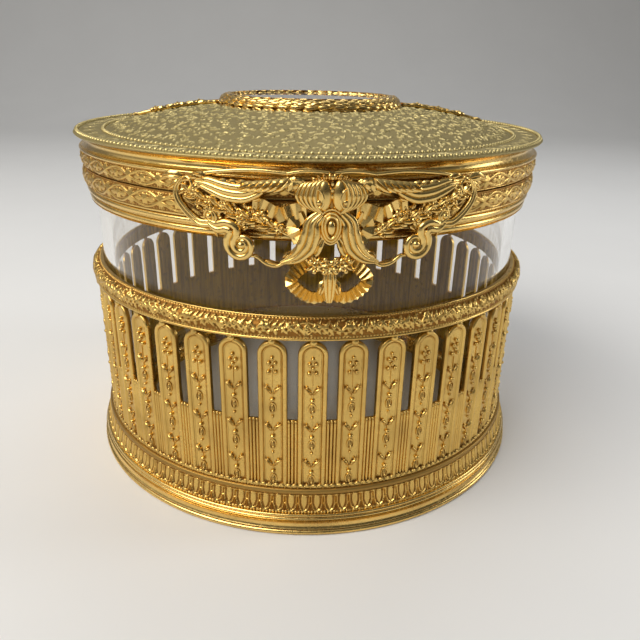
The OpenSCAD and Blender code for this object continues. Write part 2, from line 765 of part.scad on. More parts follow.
module hinge_leaf_body() {
  color(gilt) difference() {
    union() {
      leaf_block(z_collar + 0.9, z_mouth - 0.1);
      for (s = [-1, 1])
        knuckle(min(s * hinge_w / 2, s * (middle_w / 2 + knuckle_gap)),
                max(s * hinge_w / 2, s * (middle_w / 2 + knuckle_gap)), knuckle_d);
    }
    // back of the leaf fits the mouldings
    ring(concat([[0, z_collar - 1], [r_collar + nest, z_collar - 1]],
      collar_frieze_line(nest), [[r_collar + nest, z_lid + 4], [0, z_lid + 4]]));
    knuckle(-middle_w / 2 - knuckle_gap, middle_w / 2 + knuckle_gap, knuckle_d + 2 * knuckle_gap);
    knuckle(-hinge_w, hinge_w, pin_d + 2 * pin_clear);
    for (side = [-1, 1])
      rivet_bore(90 + side * rivet_deg, z_rivet_body, r_fit + 0.4, 12, rivet_d + rivet_clear);
  }
}

module hinge_leaf_lid() {
  color(gilt) difference() {
    union() {
      leaf_block(z_lid + 0.1, z_lid_bead - 0.1);
      knuckle(-middle_w / 2, middle_w / 2, knuckle_d);
    }
    ring(concat([[0, z_lid - 4], [r_lid + nest, z_lid - 4]],
      lid_frieze_line(nest), [[r_lid + nest, z_plate], [0, z_plate]]));
    for (s = [-1, 1])
      knuckle(min(s * hinge_w, s * middle_w / 2), max(s * hinge_w, s * middle_w / 2),
              knuckle_d + 2 * knuckle_gap);
    knuckle(-hinge_w, hinge_w, pin_d + 2 * pin_clear);
    for (side = [-1, 1])
      rivet_bore(90 + side * rivet_deg, z_rivet_lid, r_lid_in - 1, 12, rivet_d + rivet_clear);
  }
}

module hinge_pin() {
  color(polished) {
    knuckle(-hinge_w / 2, hinge_w / 2, pin_d);
    for (s = [-1, 1])
      knuckle(s > 0 ? hinge_w / 2 : -hinge_w / 2 - 0.8, s > 0 ? hinge_w / 2 + 0.8 : -hinge_w / 2, pin_d + 1);
  }
}

module rivets(z, r_in) {
  r_out = max(r_frieze, r_lid_frieze) + leaf_plate_t;
  for (side = [-1, 1])
    rotate([0, 0, 90 + side * rivet_deg]) {
      translate([r_in, 0, z]) rotate([0, 90, 0])
        cylinder(d = rivet_d, h = r_out - r_in + 0.2, $fn = 24);
      translate([r_out + 0.02, 0, z]) rotate([0, 90, 0])
        cylinder(d1 = rivet_d + 1, d2 = rivet_d, h = 0.5, $fn = 24);
    }
}

module hinge_rivets_body() {
  color(polished) rivets(z_rivet_body, r_fit + 0.5);
}

module hinge_rivets_lid() {
  color(polished) rivets(z_rivet_lid, r_lid_in);
}

foot_ring();
leaf_frieze();
fillet_ring();
gallery();
gallery_band();
glass_cup();
collar();
collar_frieze();
hinge_leaf_body();
hinge_pin();
hinge_rivets_body();
lid_plate();
rim_beading();
inner_beading();
lid_cove();
lid_bead();
lid_frieze();
medallion_frame();
medallion_plaque();
medallion_glass();
dome_spray_left();
dome_spray_right();
mount_centre();
mount_garland_left();
mount_garland_right();
mount_pendant();
mount_nuts();
hinge_leaf_lid();
hinge_rivets_lid();
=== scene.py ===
import math

import bmesh
import bpy
import numpy as np
from bpy.props import FloatProperty, FloatVectorProperty, IntProperty, PointerProperty
from mathutils import Matrix, Vector


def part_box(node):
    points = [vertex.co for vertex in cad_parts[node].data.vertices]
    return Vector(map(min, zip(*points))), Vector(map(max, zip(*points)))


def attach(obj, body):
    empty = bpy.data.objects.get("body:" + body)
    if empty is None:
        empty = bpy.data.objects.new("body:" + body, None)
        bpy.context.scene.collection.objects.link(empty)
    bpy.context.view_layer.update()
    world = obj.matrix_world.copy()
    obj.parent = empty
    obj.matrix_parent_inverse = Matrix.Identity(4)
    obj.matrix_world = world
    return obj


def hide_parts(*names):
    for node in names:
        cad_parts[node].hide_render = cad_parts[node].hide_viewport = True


bl_info = {
    "name": "Glass casket",
    "version": (1, 0, 0),
    "blender": (4, 5, 0),
    "location": "View3D > Sidebar > Casket",
    "description": "Dresses a round glass casket in gilt ornament, piece by piece",
    "category": "Add Mesh",
}

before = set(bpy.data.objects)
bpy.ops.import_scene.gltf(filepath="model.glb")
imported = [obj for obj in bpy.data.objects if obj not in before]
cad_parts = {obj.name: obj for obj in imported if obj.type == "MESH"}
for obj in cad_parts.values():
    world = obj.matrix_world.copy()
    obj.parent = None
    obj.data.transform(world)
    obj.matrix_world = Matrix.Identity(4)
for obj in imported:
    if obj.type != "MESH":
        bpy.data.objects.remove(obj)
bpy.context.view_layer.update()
MM = 0.001
FRONT = math.radians(-90)


# --- Sizes read from the frame ------------------------------------------------


def ring_size(node):
    """(outer radius, lowest z, highest z) of a round CAD node, in millimetres."""
    low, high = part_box(node)
    return high.x / MM, low.z / MM, high.z / MM


R_FOOT, Z_FOOT, _ = ring_size("foot_ring")
R_LEAF, Z_LEAF, Z_FILLET = ring_size("leaf_frieze")
R_FILLET, _, Z_GALLERY = ring_size("fillet_ring")
R_GALLERY, _, Z_STRIP = ring_size("gallery")
R_BAND, Z_CROWN, Z_BAND_TOP = ring_size("gallery_band")
R_GLASS, Z_SEAT, Z_GLASS_TOP = ring_size("glass_cup")
R_COLLAR, Z_COLLAR, Z_MOUTH = ring_size("collar")
R_COLLAR_FRIEZE, Z_COLLAR_FRIEZE, _ = ring_size("collar_frieze")
R_LID_FRIEZE, Z_LID, Z_LID_BEAD = ring_size("lid_frieze")
R_LID_BEAD, _, Z_COVE = ring_size("lid_bead")
R_COVE, _, Z_PLATE = ring_size("lid_cove")
R_RIM, _, Z_DOME = ring_size("lid_plate")
R_FRAME, Z_FRAME, Z_FRAME_TOP = ring_size("medallion_frame")
R_PLAQUE, _, Z_CRYSTAL = ring_size("medallion_plaque")
_, _, Z_CRYSTAL_TOP = ring_size("medallion_glass")
R_RIM_BEAD, Z_MARGIN, _ = ring_size("rim_beading")
R_INNER_BEAD, _, _ = ring_size("inner_beading")

# Sizes that the outsides of the pieces don't tell, in millimetres.
WELD = 0.002  # points nearer to each other than this become one
FIT = 0.05  # gap between two fitted pieces
SEAT_WIDTH = 7.0  # of the ledge that carries the glass
SLEEVE_WALL = 1.55
LIP_WIDTH = 0.8  # of the collar's lip inside the mouth of the glass
GLASS_WALL = 3.0
GLASS_FLOOR = 5.0
GALLERY_THICK = 1.4
CROWN_DROP = 0.8  # from the band down to the crown of a pale
LID_WALL = 2.0
PLATE_THICK = 0.8
DOME_BOW = 1.1
R_DOME = R_RIM - 9.0
R_MOUNT = R_LID_FRIEZE + 0.6
MOUNT_RISE = 2.6  # of the mount's origin above the mouth
MOUNT_STRETCH = 1.06  # of its heights
MOUNT_BACK = -0.3  # least and greatest reach from its wall
MOUNT_PROUD = 2.85


def dome_height(r):
    """Height of the dome's upper face at radius r."""
    t = (R_DOME - np.clip(r, R_FRAME, R_DOME)) / (R_DOME - R_FRAME)
    rise = Z_DOME - Z_MARGIN
    return Z_MARGIN + rise * t + DOME_BOW * 4 * t * (1 - t)


# --- Mesh making --------------------------------------------------------------


class Shape:
    """Points and faces of one piece in the making, in millimetres.

    Each point has a relief value, from 0 in a hollow to 1 on what stands proud; low values paint
    shade.
    """

    def __init__(self):
        self.points = []
        self.relief = []
        self.quads = []
        self.size = 0

    def grid(self, points, relief=0.8, wrap_u=False, wrap_v=False):
        """Adds a sheet of quads through an array of points, closed on itself where it wraps."""
        nu, nv = points.shape[:2]
        index = self.size + np.arange(nu * nv).reshape(nu, nv)
        if wrap_u:
            index = np.vstack([index, index[:1]])
        if wrap_v:
            index = np.hstack([index, index[:, :1]])
        corners = [index[:-1, :-1], index[1:, :-1], index[1:, 1:], index[:-1, 1:]]
        self.quads.append(np.stack(corners, -1).reshape(-1, 4))
        self.points.append(points.reshape(-1, 3))
        self.relief.append(np.broadcast_to(relief, (nu, nv)).reshape(-1))
        self.size += nu * nv

    def extend(self, other, move=None):
        """Adds a copy of another shape, with its points passed through move."""
        points = np.vstack(other.points)
        self.quads.append(np.vstack(other.quads) + self.size)
        self.points.append(points if move is None else move(points))
        self.relief.append(np.hstack(other.relief))
        self.size += other.size

    def build(self, name, body, finish, replaces, weld=True, crease=40):
        """Makes the object, lets it ride on its body and stand for its CAD nodes."""
        mesh = bpy.data.meshes.new(name)
        points = np.vstack(self.points) * MM
        quads = np.vstack(self.quads)
        mesh.vertices.add(len(points))
        mesh.vertices.foreach_set("co", points.ravel())
        mesh.loops.add(quads.size)
        mesh.loops.foreach_set("vertex_index", quads.ravel())
        mesh.polygons.add(len(quads))
        mesh.polygons.foreach_set("loop_start", np.arange(0, quads.size, 4))
        mesh.update(calc_edges=True)
        # the gilt finishes read this attribute to paint shade into what lies deep
        relief = mesh.attributes.new("relief", "FLOAT", "POINT")
        relief.data.foreach_set("value", np.hstack(self.relief).astype(np.float32))
        body_mesh = bmesh.new()
        body_mesh.from_mesh(mesh)
        if weld:
            bmesh.ops.remove_doubles(body_mesh, verts=body_mesh.verts, dist=WELD * MM)
        bmesh.ops.recalc_face_normals(body_mesh, faces=body_mesh.faces)
        body_mesh.to_mesh(mesh)
        body_mesh.free()
        mesh.polygons.foreach_set("use_smooth", np.ones(len(mesh.polygons), bool))
        mesh.set_sharp_from_angle(angle=math.radians(crease))
        mesh.materials.append(finish_named(finish))
        piece = bpy.data.objects.new(name, mesh)
        bpy.context.scene.collection.objects.link(piece)
        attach(piece, body)
        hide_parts(*replaces)
        return piece


def arc(cx, cz, radius, start, end, steps):
    """Points of an arc, angles in degrees."""
    angles = np.radians(np.linspace(start, end, steps + 1))
    return [(cx + radius * math.cos(a), cz + radius * math.sin(a)) for a in angles]


def swell(r, z0, z1, bulge, steps=12):
    """Arc from (r, z0) up to (r, z1) that swells outwards, or inwards with a minus sign."""
    half = (z1 - z0) / 2
    rise = abs(bulge)
    radius = (half * half + rise * rise) / (2 * rise)
    spread = math.degrees(math.asin(half / radius))
    if bulge > 0:
        return arc(r + rise - radius, z0 + half, radius, -spread, spread, steps)
    return arc(r - rise + radius, z0 + half, radius, 180 + spread, 180 - spread, steps)


def around(reach, angle, rise):
    """Points at a distance from the axis, an angle in radians and a height."""
    reach, angle, rise = np.broadcast_arrays(reach, angle, rise)
    return np.stack([reach * np.cos(angle), reach * np.sin(angle), rise], -1)


def turned(shape, profile, relief=0.8, steps=360, closed=True):
    """Adds a profile of (r, z) points turned about the axis."""
    outline = np.array(profile, float)
    apart = np.hypot(*np.diff(outline, axis=0).T) > 2 * WELD
    outline = outline[np.concatenate([[True], apart])]
    angles = np.linspace(0, 2 * math.pi, steps, endpoint=False)[:, None]
    shape.grid(around(outline[:, 0], angles, outline[:, 1]), relief, wrap_u=True, wrap_v=closed)


def turned_piece(name, body, finish, replaces, profile, relief=0.8, steps=360, closed=True,
                 crease=40):
    """Makes a piece that is one turned profile."""
    shape = Shape()
    turned(shape, profile, relief, steps, closed)
    shape.build(name, body, finish, replaces, crease=crease)


def on_wall(radius, turn=0.0):
    """Wraps (across, up, out) points round a wall of that radius, turned by turn degrees."""
    def move(points):
        angle = FRONT + math.radians(turn) + points[:, 0] / radius
        return around(radius + points[:, 2], angle, points[:, 1])
    return move


def on_dome(turn=0.0):
    """Lays (outwards, across, up) points on the dome, turned by turn degrees."""
    def move(points):
        spin = math.radians(turn)
        x = points[:, 0] * math.cos(spin) - points[:, 1] * math.sin(spin)
        y = points[:, 0] * math.sin(spin) + points[:, 1] * math.cos(spin)
        return np.stack([x, y, dome_height(np.hypot(x, y)) + points[:, 2]], -1)
    return move


# --- Chased relief ------------------------------------------------------------


class Relief:
    """Height of a chased ornament over a patch of ground, in millimetres.

    images are the functions that give a form's own place and its repeats nearby.
    """

    def __init__(self, x, y, images):
        self.x = x
        self.y = y
        self.images = images
        self.height = np.zeros_like(x)

    def lift(self, share, height):
        """Raises a rounded form, where share runs from 0 on its middle to 1 at its edge."""
        form = height * np.sqrt(np.clip(1 - share * share, 0, 1))
        self.height = np.maximum(self.height, form)

    def ridge(self, path, width, height, taper=1.0):
        """A rounded ridge along a path, that thins towards its end."""
        for image in self.images:
            points = image(np.asarray(path, float))
            half = np.linspace(width, width * taper, len(points)) / 2
            for p, q, a, b in zip(points[:-1], points[1:], half[:-1], half[1:]):
                d = q - p
                along = (self.x - p[0]) * d[0] + (self.y - p[1]) * d[1]
                t = np.clip(along / max(d @ d, 1e-9), 0, 1)
                off = np.hypot(self.x - p[0] - t * d[0], self.y - p[1] - t * d[1])
                self.lift(off / (a + (b - a) * t), height)

    def bead(self, x, y, radius, height):
        """A round bead."""
        for image in self.images:
            cx, cy = image(np.array([[x, y]], float))[0]
            self.lift(np.hypot(self.x - cx, self.y - cy) / radius, height)

    def petal(self, x, y, angle, length, width, height):
        """A pointed leaf with a sunk midrib, from its root towards angle in degrees."""
        tip = (x + length * math.cos(math.radians(angle)),
               y + length * math.sin(math.radians(angle)))
        for image in self.images:
            p, q = image(np.array([(x, y), tip], float))
            d = (q - p) / length
            along = (self.x - p[0]) * d[0] + (self.y - p[1]) * d[1]
            across = np.abs((self.y - p[1]) * d[0] - (self.x - p[0]) * d[1])
            t = np.clip(along / length, 0.001, 0.999)
            half = width / 2 * np.sin(math.pi * t ** 0.8)
            inside = (along > 0) & (along < length)
            share = np.where(inside, across / np.maximum(half, 0.01), 1)
            vein = 0.7 + 0.3 * np.clip(share * 3, 0, 1)
            form = height * vein * np.sqrt(np.clip(1 - share * share, 0, 1))
            self.height = np.maximum(self.height, form)


def spiral(x, y, start_radius, end_radius, start, turns, steps=18):
    """Points of a scroll about (x, y), start in degrees, turns above 0 anticlockwise."""
    t = np.linspace(0, 1, steps + 1)
    angle = math.radians(start) + 2 * math.pi * turns * t
    radius = start_radius + (end_radius - start_radius) * t
    return np.stack([x + radius * np.cos(angle), y + radius * np.sin(angle)], -1)


def backed(shape, reach, rise, level, back, back_level, start=0.0):
    """Adds a ring from the rows of its face and the (r, z) points that close it behind."""
    total = len(reach)
    rear = np.array(back, float)
    angle = (start + 2 * math.pi * (np.arange(total) + 0.5) / total)[:, None]
    reach, rise, level = (
        np.hstack([face, np.broadcast_to(behind, (total, len(rear)))])
        for face, behind in ((reach, rear[:, 0]), (rise, rear[:, 1]), (level, back_level)))
    shape.grid(around(reach, angle, rise), level, wrap_u=True, wrap_v=True)


def sideways(step):
    """Images of a form one repeat to either side, along a band."""
    return [lambda p, k=k: p + np.array([k * step, 0.0]) for k in (-1, 0, 1)]


def chased_ring(shape, profile, radius, repeats, cell, ornament, back, depth=1.0):
    """A ring with an ornament on its outer face.

    profile is the outer line of (r, z) points from its foot to its top, back the points
    that close it behind, and ornament draws one repeat on a Relief.
    """
    line = np.array(profile, float)
    steps = np.hypot(*np.diff(line, axis=0).T)
    run = np.concatenate([[0], np.cumsum(steps)])
    rows = max(4, round(run[-1] / cell))
    at = np.linspace(0, run[-1], rows + 1)
    r = np.interp(at, run, line[:, 0])
    z = np.interp(at, run, line[:, 1])
    slope = np.stack([np.gradient(r), np.gradient(z)], -1)
    slope /= np.linalg.norm(slope, axis=1, keepdims=True)
    width = 2 * math.pi * radius / repeats
    columns = max(4, round(width / cell))
    x, y = np.meshgrid((np.arange(columns) / columns - 0.5) * width, at, indexing="ij")
    relief = Relief(x, y, sideways(width))
    ornament(relief, width, run[-1])
    # painted shade: the ground between the ornament gets a low relief and the back none, so the
    # gilding darkens there
    height = np.tile(relief.height * depth, (repeats, 1))
    level = height / max(height.max(), 1e-6)
    backed(shape, r + height * slope[:, 1], z - height * slope[:, 0], level, back, 0.0, FRONT)


def chased_piece(name, body, replaces, profile, radius, repeats, cell, ornament, back, depth=1.0):
    """Makes a gilt ring with a chased face."""
    shape = Shape()
    chased_ring(shape, profile, radius, repeats, cell, ornament, back, depth)
    shape.build(name, body, "fine_gilding", replaces, weld=False)


# --- Cast and swept ornament --------------------------------------------------


def heading(line):
    """Unit tangents along a line of (across, up) points."""
    tangent = np.gradient(line[:, :2], axis=0)
    return tangent / np.maximum(np.linalg.norm(tangent, axis=1, keepdims=True), 1e-9)


def share_along(girth, count):
    """The girth at count places, from its values spread over the length."""
    return np.interp(np.linspace(0, 1, count), np.linspace(0, 1, len(girth)), girth)[:, None]


def closed_sweep(shape, points, relief):
    """Adds rings of points, one after the other, and closes both ends to a point."""
    sides = points.shape[1]
    ends = [points[i:i + 1].mean(1, keepdims=True).repeat(sides, 1) for i in (0, len(points) - 1)]
    shape.grid(np.vstack([ends[0], points, ends[1]]), np.vstack([relief[:1], relief, relief[-1:]]),
               wrap_v=True)


def curve(points, steps=6):
    """A smooth line through points, with steps pieces between each two."""
    line = np.asarray(points, float)
    line = np.vstack([2 * line[0] - line[1], line, 2 * line[-1] - line[-2]])
    t = (np.arange(steps) / steps)[:, None]
    runs = []
    for a, b, c, d in zip(line[:-3], line[1:-2], line[2:-1], line[3:]):
        bend = 2 * a - 5 * b + 4 * c - d + t * (3 * (b - c) + d - a)
        runs.append(b + 0.5 * t * (c - a + t * bend))
    return np.vstack([*runs, line[-2:-1]])


def bar(shape, path, width, height, girth=(0.4, 0.85, 1, 0.85, 0.4), flutes=0, depth=0.0,
        twist=0.0, sides=12, lift=0.0, relief=0.85):
    """A bar of round or fluted section swept along a path of (across, up) points.

    width and height are half sizes, and girth is the share of them along the path.
    """
    line = np.asarray(path, float)
    count = len(line)
    tangent = heading(line)
    t = np.linspace(0, 1, count)
    scale = share_along(girth, count)
    phi = np.linspace(0, 2 * math.pi, sides, endpoint=False)
    groove = 1 + depth * np.cos(flutes * phi[None, :] + twist * 2 * math.pi * t[:, None])
    side = width * scale * groove * np.cos(phi)
    level = line[:, 2:] if line.shape[1] > 2 else np.zeros((count, 1))
    rise = level + lift + height * scale * groove * np.sin(phi)
    points = np.stack([line[:, :1] - tangent[:, 1:] * side,
                       line[:, 1:2] + tangent[:, :1] * side, rise], -1)
    # painted shade: the grooves of the flutes get a lower relief and darken
    proud = relief + (groove - 1) / depth * 0.35 if depth else np.full((1, 1), relief)
    closed_sweep(shape, points, np.broadcast_to(np.clip(proud, 0, 1), (count, sides)))


def leaf(shape, root, angle, length, width, out=0.0, curl=0.6, lobes=0, bend=0.0, rise=0.55,
         steps=10):
    """A leaf with a midrib and, where it has lobes, a scalloped edge, closed underneath."""
    t = np.linspace(0, 1, steps + 1)
    turn = math.radians(angle) + math.radians(bend) * t
    step = length / steps
    x = root[0] + np.concatenate([[0], np.cumsum(step * np.cos(turn[:-1]))])
    y = root[1] + np.concatenate([[0], np.cumsum(step * np.sin(turn[:-1]))])
    half = width / 2 * np.sin(math.pi * np.clip(t, 0, 1) ** 0.75)
    if lobes:
        half = half * (0.78 + 0.22 * np.abs(np.cos(math.pi * lobes * t)))
    half[0] = half[-1] = 0
    v = np.array([-1, -0.6, -0.25, 0, 0.25, 0.6, 1, 0])
    section = np.array([0, 0.85, 0.95, 0.55, 0.95, 0.85, 0, -0.6]) * rise
    spine = out + curl * np.sin(math.pi * t * 0.9)
    across = np.stack([-np.sin(turn), np.cos(turn)], -1)
    px = x[:, None] + across[:, :1] * half[:, None] * v
    py = y[:, None] + across[:, 1:] * half[:, None] * v
    body = np.sin(math.pi * np.clip(t, 0.02, 0.98))[:, None] ** 0.5
    pz = spine[:, None] + section * body
    pz[0] = spine[0]
    pz[-1] = spine[-1]
    # painted shade: the sunk midrib, the edges and the underside get a lower relief and darken
    level = np.array([0.5, 1, 0.8, 0.2, 0.8, 1, 0.5, 0])
    shape.grid(np.stack([px, py, pz], -1), level, wrap_v=True)


def ball(shape, centre, radii, relief=0.95, rings=7, sides=12):
    """An egg-shaped bead."""
    lat = np.linspace(-math.pi / 2, math.pi / 2, rings)
    lon = np.linspace(0, 2 * math.pi, sides, endpoint=False)
    c = np.cos(lat)[:, None]
    points = np.stack([
        centre[0] + radii[0] * c * np.cos(lon),
        centre[1] + radii[1] * c * np.sin(lon),
        np.broadcast_to(centre[2] + radii[2] * np.sin(lat)[:, None], (rings, sides)),
    ], -1)
    shape.grid(points, relief, wrap_v=True)


def blossom(shape, x, y, radius, out, petals=5, turn=0.0):
    """A small open flower with a bead in its middle."""
    for i in range(petals):
        angle = turn + 360 / petals * i
        leaf(shape, (x, y), angle, radius, radius * 0.95, out, curl=0.25, rise=0.5, steps=6)
    ball(shape, (x, y, out + 0.45), (radius * 0.3, radius * 0.3, radius * 0.32), rings=5, sides=8)


def pleated(shape, path, width, pleats, out=0.8, fold=0.3, thickness=0.35, girth=(0.9, 1, 1, 0.9)):
    """A ribbon in sharp pleats across its length."""
    line = np.asarray(path, float)
    run = np.concatenate([[0], np.cumsum(np.hypot(*np.diff(line, axis=0).T))])
    at = np.linspace(0, run[-1], 2 * pleats + 1)
    line = np.stack([np.interp(at, run, line[:, 0]), np.interp(at, run, line[:, 1])], -1)
    tangent = heading(line)
    count = len(line)
    scale = share_along(girth, count)
    odd = np.arange(count)[:, None] % 2
    edge = np.array([-1, -0.9, 0, 0.9, 1, 0.9, -0.9]) * width / 2
    rim = np.array([0, 1, 1.15, 1, 0, -1, -1]) * thickness
    side = edge * scale * (1 - 0.1 * odd)
    rise = out + rim + fold * (1 - 2 * odd) * (rim > 0) * (1 - 0.3 * (edge / edge.max()) ** 2)
    points = np.stack([line[:, :1] - tangent[:, 1:] * side, line[:, 1:] + tangent[:, :1] * side,
                       np.broadcast_to(rise, side.shape)], -1)
    # painted shade: every other fold of the pleats gets a lower relief and darkens
    closed_sweep(shape, points, np.broadcast_to(0.9 - 0.5 * odd, side.shape))


def ribbed(shape, path, width, height, ribs, girth=(0.5, 0.9, 1, 0.9, 0.5), lift=0.0):
    """Ribs side by side along a path, the middle ones the highest."""
    line = np.asarray(path, float)
    tangent = heading(line)
    across = np.stack([-tangent[:, 1], tangent[:, 0]], -1)
    share = share_along(girth, len(line))
    for place in (np.arange(ribs) + 0.5) * 2 / ribs - 1:
        crown = math.sqrt(1 - 0.85 * place ** 2)
        bar(shape, line + across * share * place * width, 1.35 * width / ribs, 0.75 * height, girth,
            sides=14, lift=lift + 0.5 * height * crown)
    # painted shade: a dark bar under the ribs shows between them
    bar(shape, line, 0.9 * width, 0.75 * height, girth, sides=12, lift=lift, relief=0.05)


def scroll(shape, path, centre, start_radius, start, turns, width, height, ribs, lift, eye):
    """Ribs along a path that winds up into a volute with a round eye."""
    wound = spiral(centre[0], centre[1], start_radius, eye, start, turns, 24)
    fullness = (0.45, 0.9, 1, 1, 0.85, 0.65, 0.5)
    ribbed(shape, np.vstack([path, wound]), width, height, ribs, fullness, lift)
    ball(shape, (centre[0], centre[1], lift + 0.5), (eye * 1.5, eye * 1.3, height), rings=9,
         sides=14)


def both_sides(half):
    """A half and its mirror image in one shape."""
    shape = Shape()
    shape.extend(half)
    shape.extend(half, lambda points: points * np.array([-1, 1, 1]))
    return shape


# --- Finishes -----------------------------------------------------------------


def shaded(colour, share):
    """A lighter or darker colour."""
    return tuple(share * c for c in colour)


class Nodes:
    """Adds nodes to the tree of a material or of the world, and links them."""

    def __init__(self, tree):
        self.tree = tree

    def add(self, kind, settings=None, **inputs):
        """Adds a node, sets its properties and its unlinked inputs."""
        node = self.tree.nodes.new(kind)
        for key, value in (settings or {}).items():
            setattr(node, key, value)
        for key, value in inputs.items():
            node.inputs[key.replace("_", " ")].default_value = value
        return node

    def feed(self, socket, value):
        """Links an output to a socket, or sets a fixed number or colour on it."""
        if isinstance(value, bpy.types.NodeSocket):
            self.tree.links.new(value, socket)
        else:
            socket.default_value = (*value, 1.0) if isinstance(value, tuple) else value

    def between(self, value, low, high, start=0.0, end=1.0):
        """Maps a value from start and end to low and high."""
        node = self.add("ShaderNodeMapRange", {"clamp": True}, From_Min=start, From_Max=end,
                        To_Min=low, To_Max=high)
        self.feed(node.inputs["Value"], value)
        return node.outputs["Result"]

    def blend(self, share, first, second):
        """Mixes two colours, each a fixed value or the output of a node."""
        node = self.add("ShaderNodeMix", {"data_type": "RGBA"})
        for socket, value in ((node.inputs["Factor"], share), (node.inputs[6], first),
                              (node.inputs[7], second)):
            self.feed(socket, value)
        return node.outputs[2]

    def combine(self, operation, first, second):
        """A math node on two values."""
        node = self.add("ShaderNodeMath", {"operation": operation})
        for socket, value in zip(node.inputs, (first, second)):
            self.feed(socket, value)
        return node.outputs[0]

    def highest(self, first, *others):
        """The highest of some values."""
        for other in others:
            first = self.combine("MAXIMUM", first, other)
        return first


class Finish(Nodes):
    """A material in the making: its Principled shader and the place on the piece."""

    def __init__(self, name):
        self.material = bpy.data.materials.new(name)
        self.material.use_nodes = True
        super().__init__(self.material.node_tree)
        self.shader = self.tree.nodes["Principled BSDF"]
        self.place = self.add("ShaderNodeTexCoord").outputs["Object"]

    def dress(self, **sockets):
        """Sets or links sockets of the shader, named with _ for a space."""
        for key, value in sockets.items():
            self.feed(self.shader.inputs[key.replace("_", " ")], value)
        return self.material

    def noise(self, scale, detail=3.0, roughness=0.55, place=None):
        """Noise over the piece, scale in repeats per metre."""
        node = self.add("ShaderNodeTexNoise", Scale=scale, Detail=detail, Roughness=roughness)
        self.feed(node.inputs["Vector"], place or self.place)
        return node.outputs["Fac"]

    def bump(self, height, strength, depth):
        """Normals roughened by a height, depth in millimetres."""
        node = self.add("ShaderNodeBump", Strength=strength, Distance=depth * MM)
        self.feed(node.inputs["Height"], height)
        return node.outputs["Normal"]

    def edges(self):
        """How far the surface stands proud, from the curvature of the mesh."""
        return self.add("ShaderNodeNewGeometry").outputs["Pointiness"]


def gilding(name, face, hollow, rough, grain=0.3, grain_scale=2600, patina=0.3, chased=True):
    """Gilt brass: face on what stands proud, hollow as painted shade in what lies deep, uneven all
    over.
    """
    gilt = Finish(name)
    cloudy = gilt.noise(70, 4)
    specks = gilt.noise(1400, 3)
    # painted shade: depth blends the gilding towards hollow where the relief is low, or else where
    # the mesh curves inwards
    if chased:
        height = gilt.add("ShaderNodeAttribute", {"attribute_name": "relief"}).outputs["Fac"]
        depth = gilt.between(height, 1.0, 0.0, 0.0, 0.55)
    else:
        depth = gilt.between(gilt.edges(), 0.8, 0.0, 0.42, 0.5)
    tarnish = gilt.combine("MULTIPLY", gilt.between(cloudy, 0.0, 1.0, 0.45, 0.7), patina)
    spotted = gilt.combine("MULTIPLY", gilt.between(specks, 0.0, 1.0, 0.55, 0.75), patina)
    # real tarnish and its spots, together with the painted shade of depth
    marks_and_shade = gilt.highest(tarnish, spotted, depth)
    uneven = gilt.between(specks, rough - 0.05, rough + 0.06, 0.3, 0.7)
    return gilt.dress(
        Base_Color=gilt.blend(marks_and_shade, face, hollow),
        Roughness=gilt.combine("ADD", uneven, gilt.combine("MULTIPLY", marks_and_shade, 0.3)),
        Metallic=1.0,
        Normal=gilt.bump(gilt.noise(grain_scale, 2), grain, 0.06))


def burnished(name, face, hollow, rough):
    """Turned and burnished gilding with the fine lines of the lathe and painted shade in its inner
    corners.
    """
    gilt = Finish(name)
    split = gilt.add("ShaderNodeSeparateXYZ")
    gilt.feed(split.inputs["Vector"], gilt.place)
    lines = gilt.add("ShaderNodeTexNoise", {"noise_dimensions": "1D"}, Scale=5200, Detail=2.0)
    gilt.feed(lines.inputs["W"], split.outputs["Z"])
    tarnish = gilt.between(gilt.noise(45, 5), 0.0, 0.45, 0.48, 0.72)
    # painted shade where the mesh curves inwards, mixed with real tarnish
    marks_and_shade = gilt.highest(gilt.between(gilt.edges(), 1.0, 0.0, 0.4, 0.49), tarnish)
    smears = gilt.between(gilt.noise(700, 3), rough - 0.04, rough + 0.1, 0.35, 0.7)
    return gilt.dress(
        Base_Color=gilt.blend(marks_and_shade, face, hollow),
        Roughness=gilt.combine("ADD", smears, gilt.combine("MULTIPLY", marks_and_shade, 0.18)),
        Metallic=1.0,
        Normal=gilt.bump(lines.outputs["Fac"], 0.12, 0.03))


def rolled(name, face, hollow):
    """The plain back of gilt sheet, dull and streaked along its height, with spots of painted shade
    for its embossing.
    """
    sheet = Finish(name)
    stretch = sheet.add("ShaderNodeMapping", Scale=(1.0, 1.0, 0.05))
    sheet.feed(stretch.inputs["Vector"], sheet.place)
    streaks = sheet.noise(760, 4, 0.65, stretch.outputs["Vector"])
    # painted shade: dark spots that stand in for the hollows of the embossing on the back of the
    # sheet
    embossing_shade = sheet.between(sheet.noise(520, 4), 0.0, 0.9, 0.52, 0.66)
    marks_and_shade = sheet.highest(sheet.between(streaks, 0.0, 0.9, 0.42, 0.6), embossing_shade)
    return sheet.dress(
        Base_Color=sheet.blend(marks_and_shade, face, hollow),
        Roughness=sheet.between(streaks, 0.42, 0.6),
        Metallic=0.35,
        Normal=sheet.bump(streaks, 0.3, 0.05))


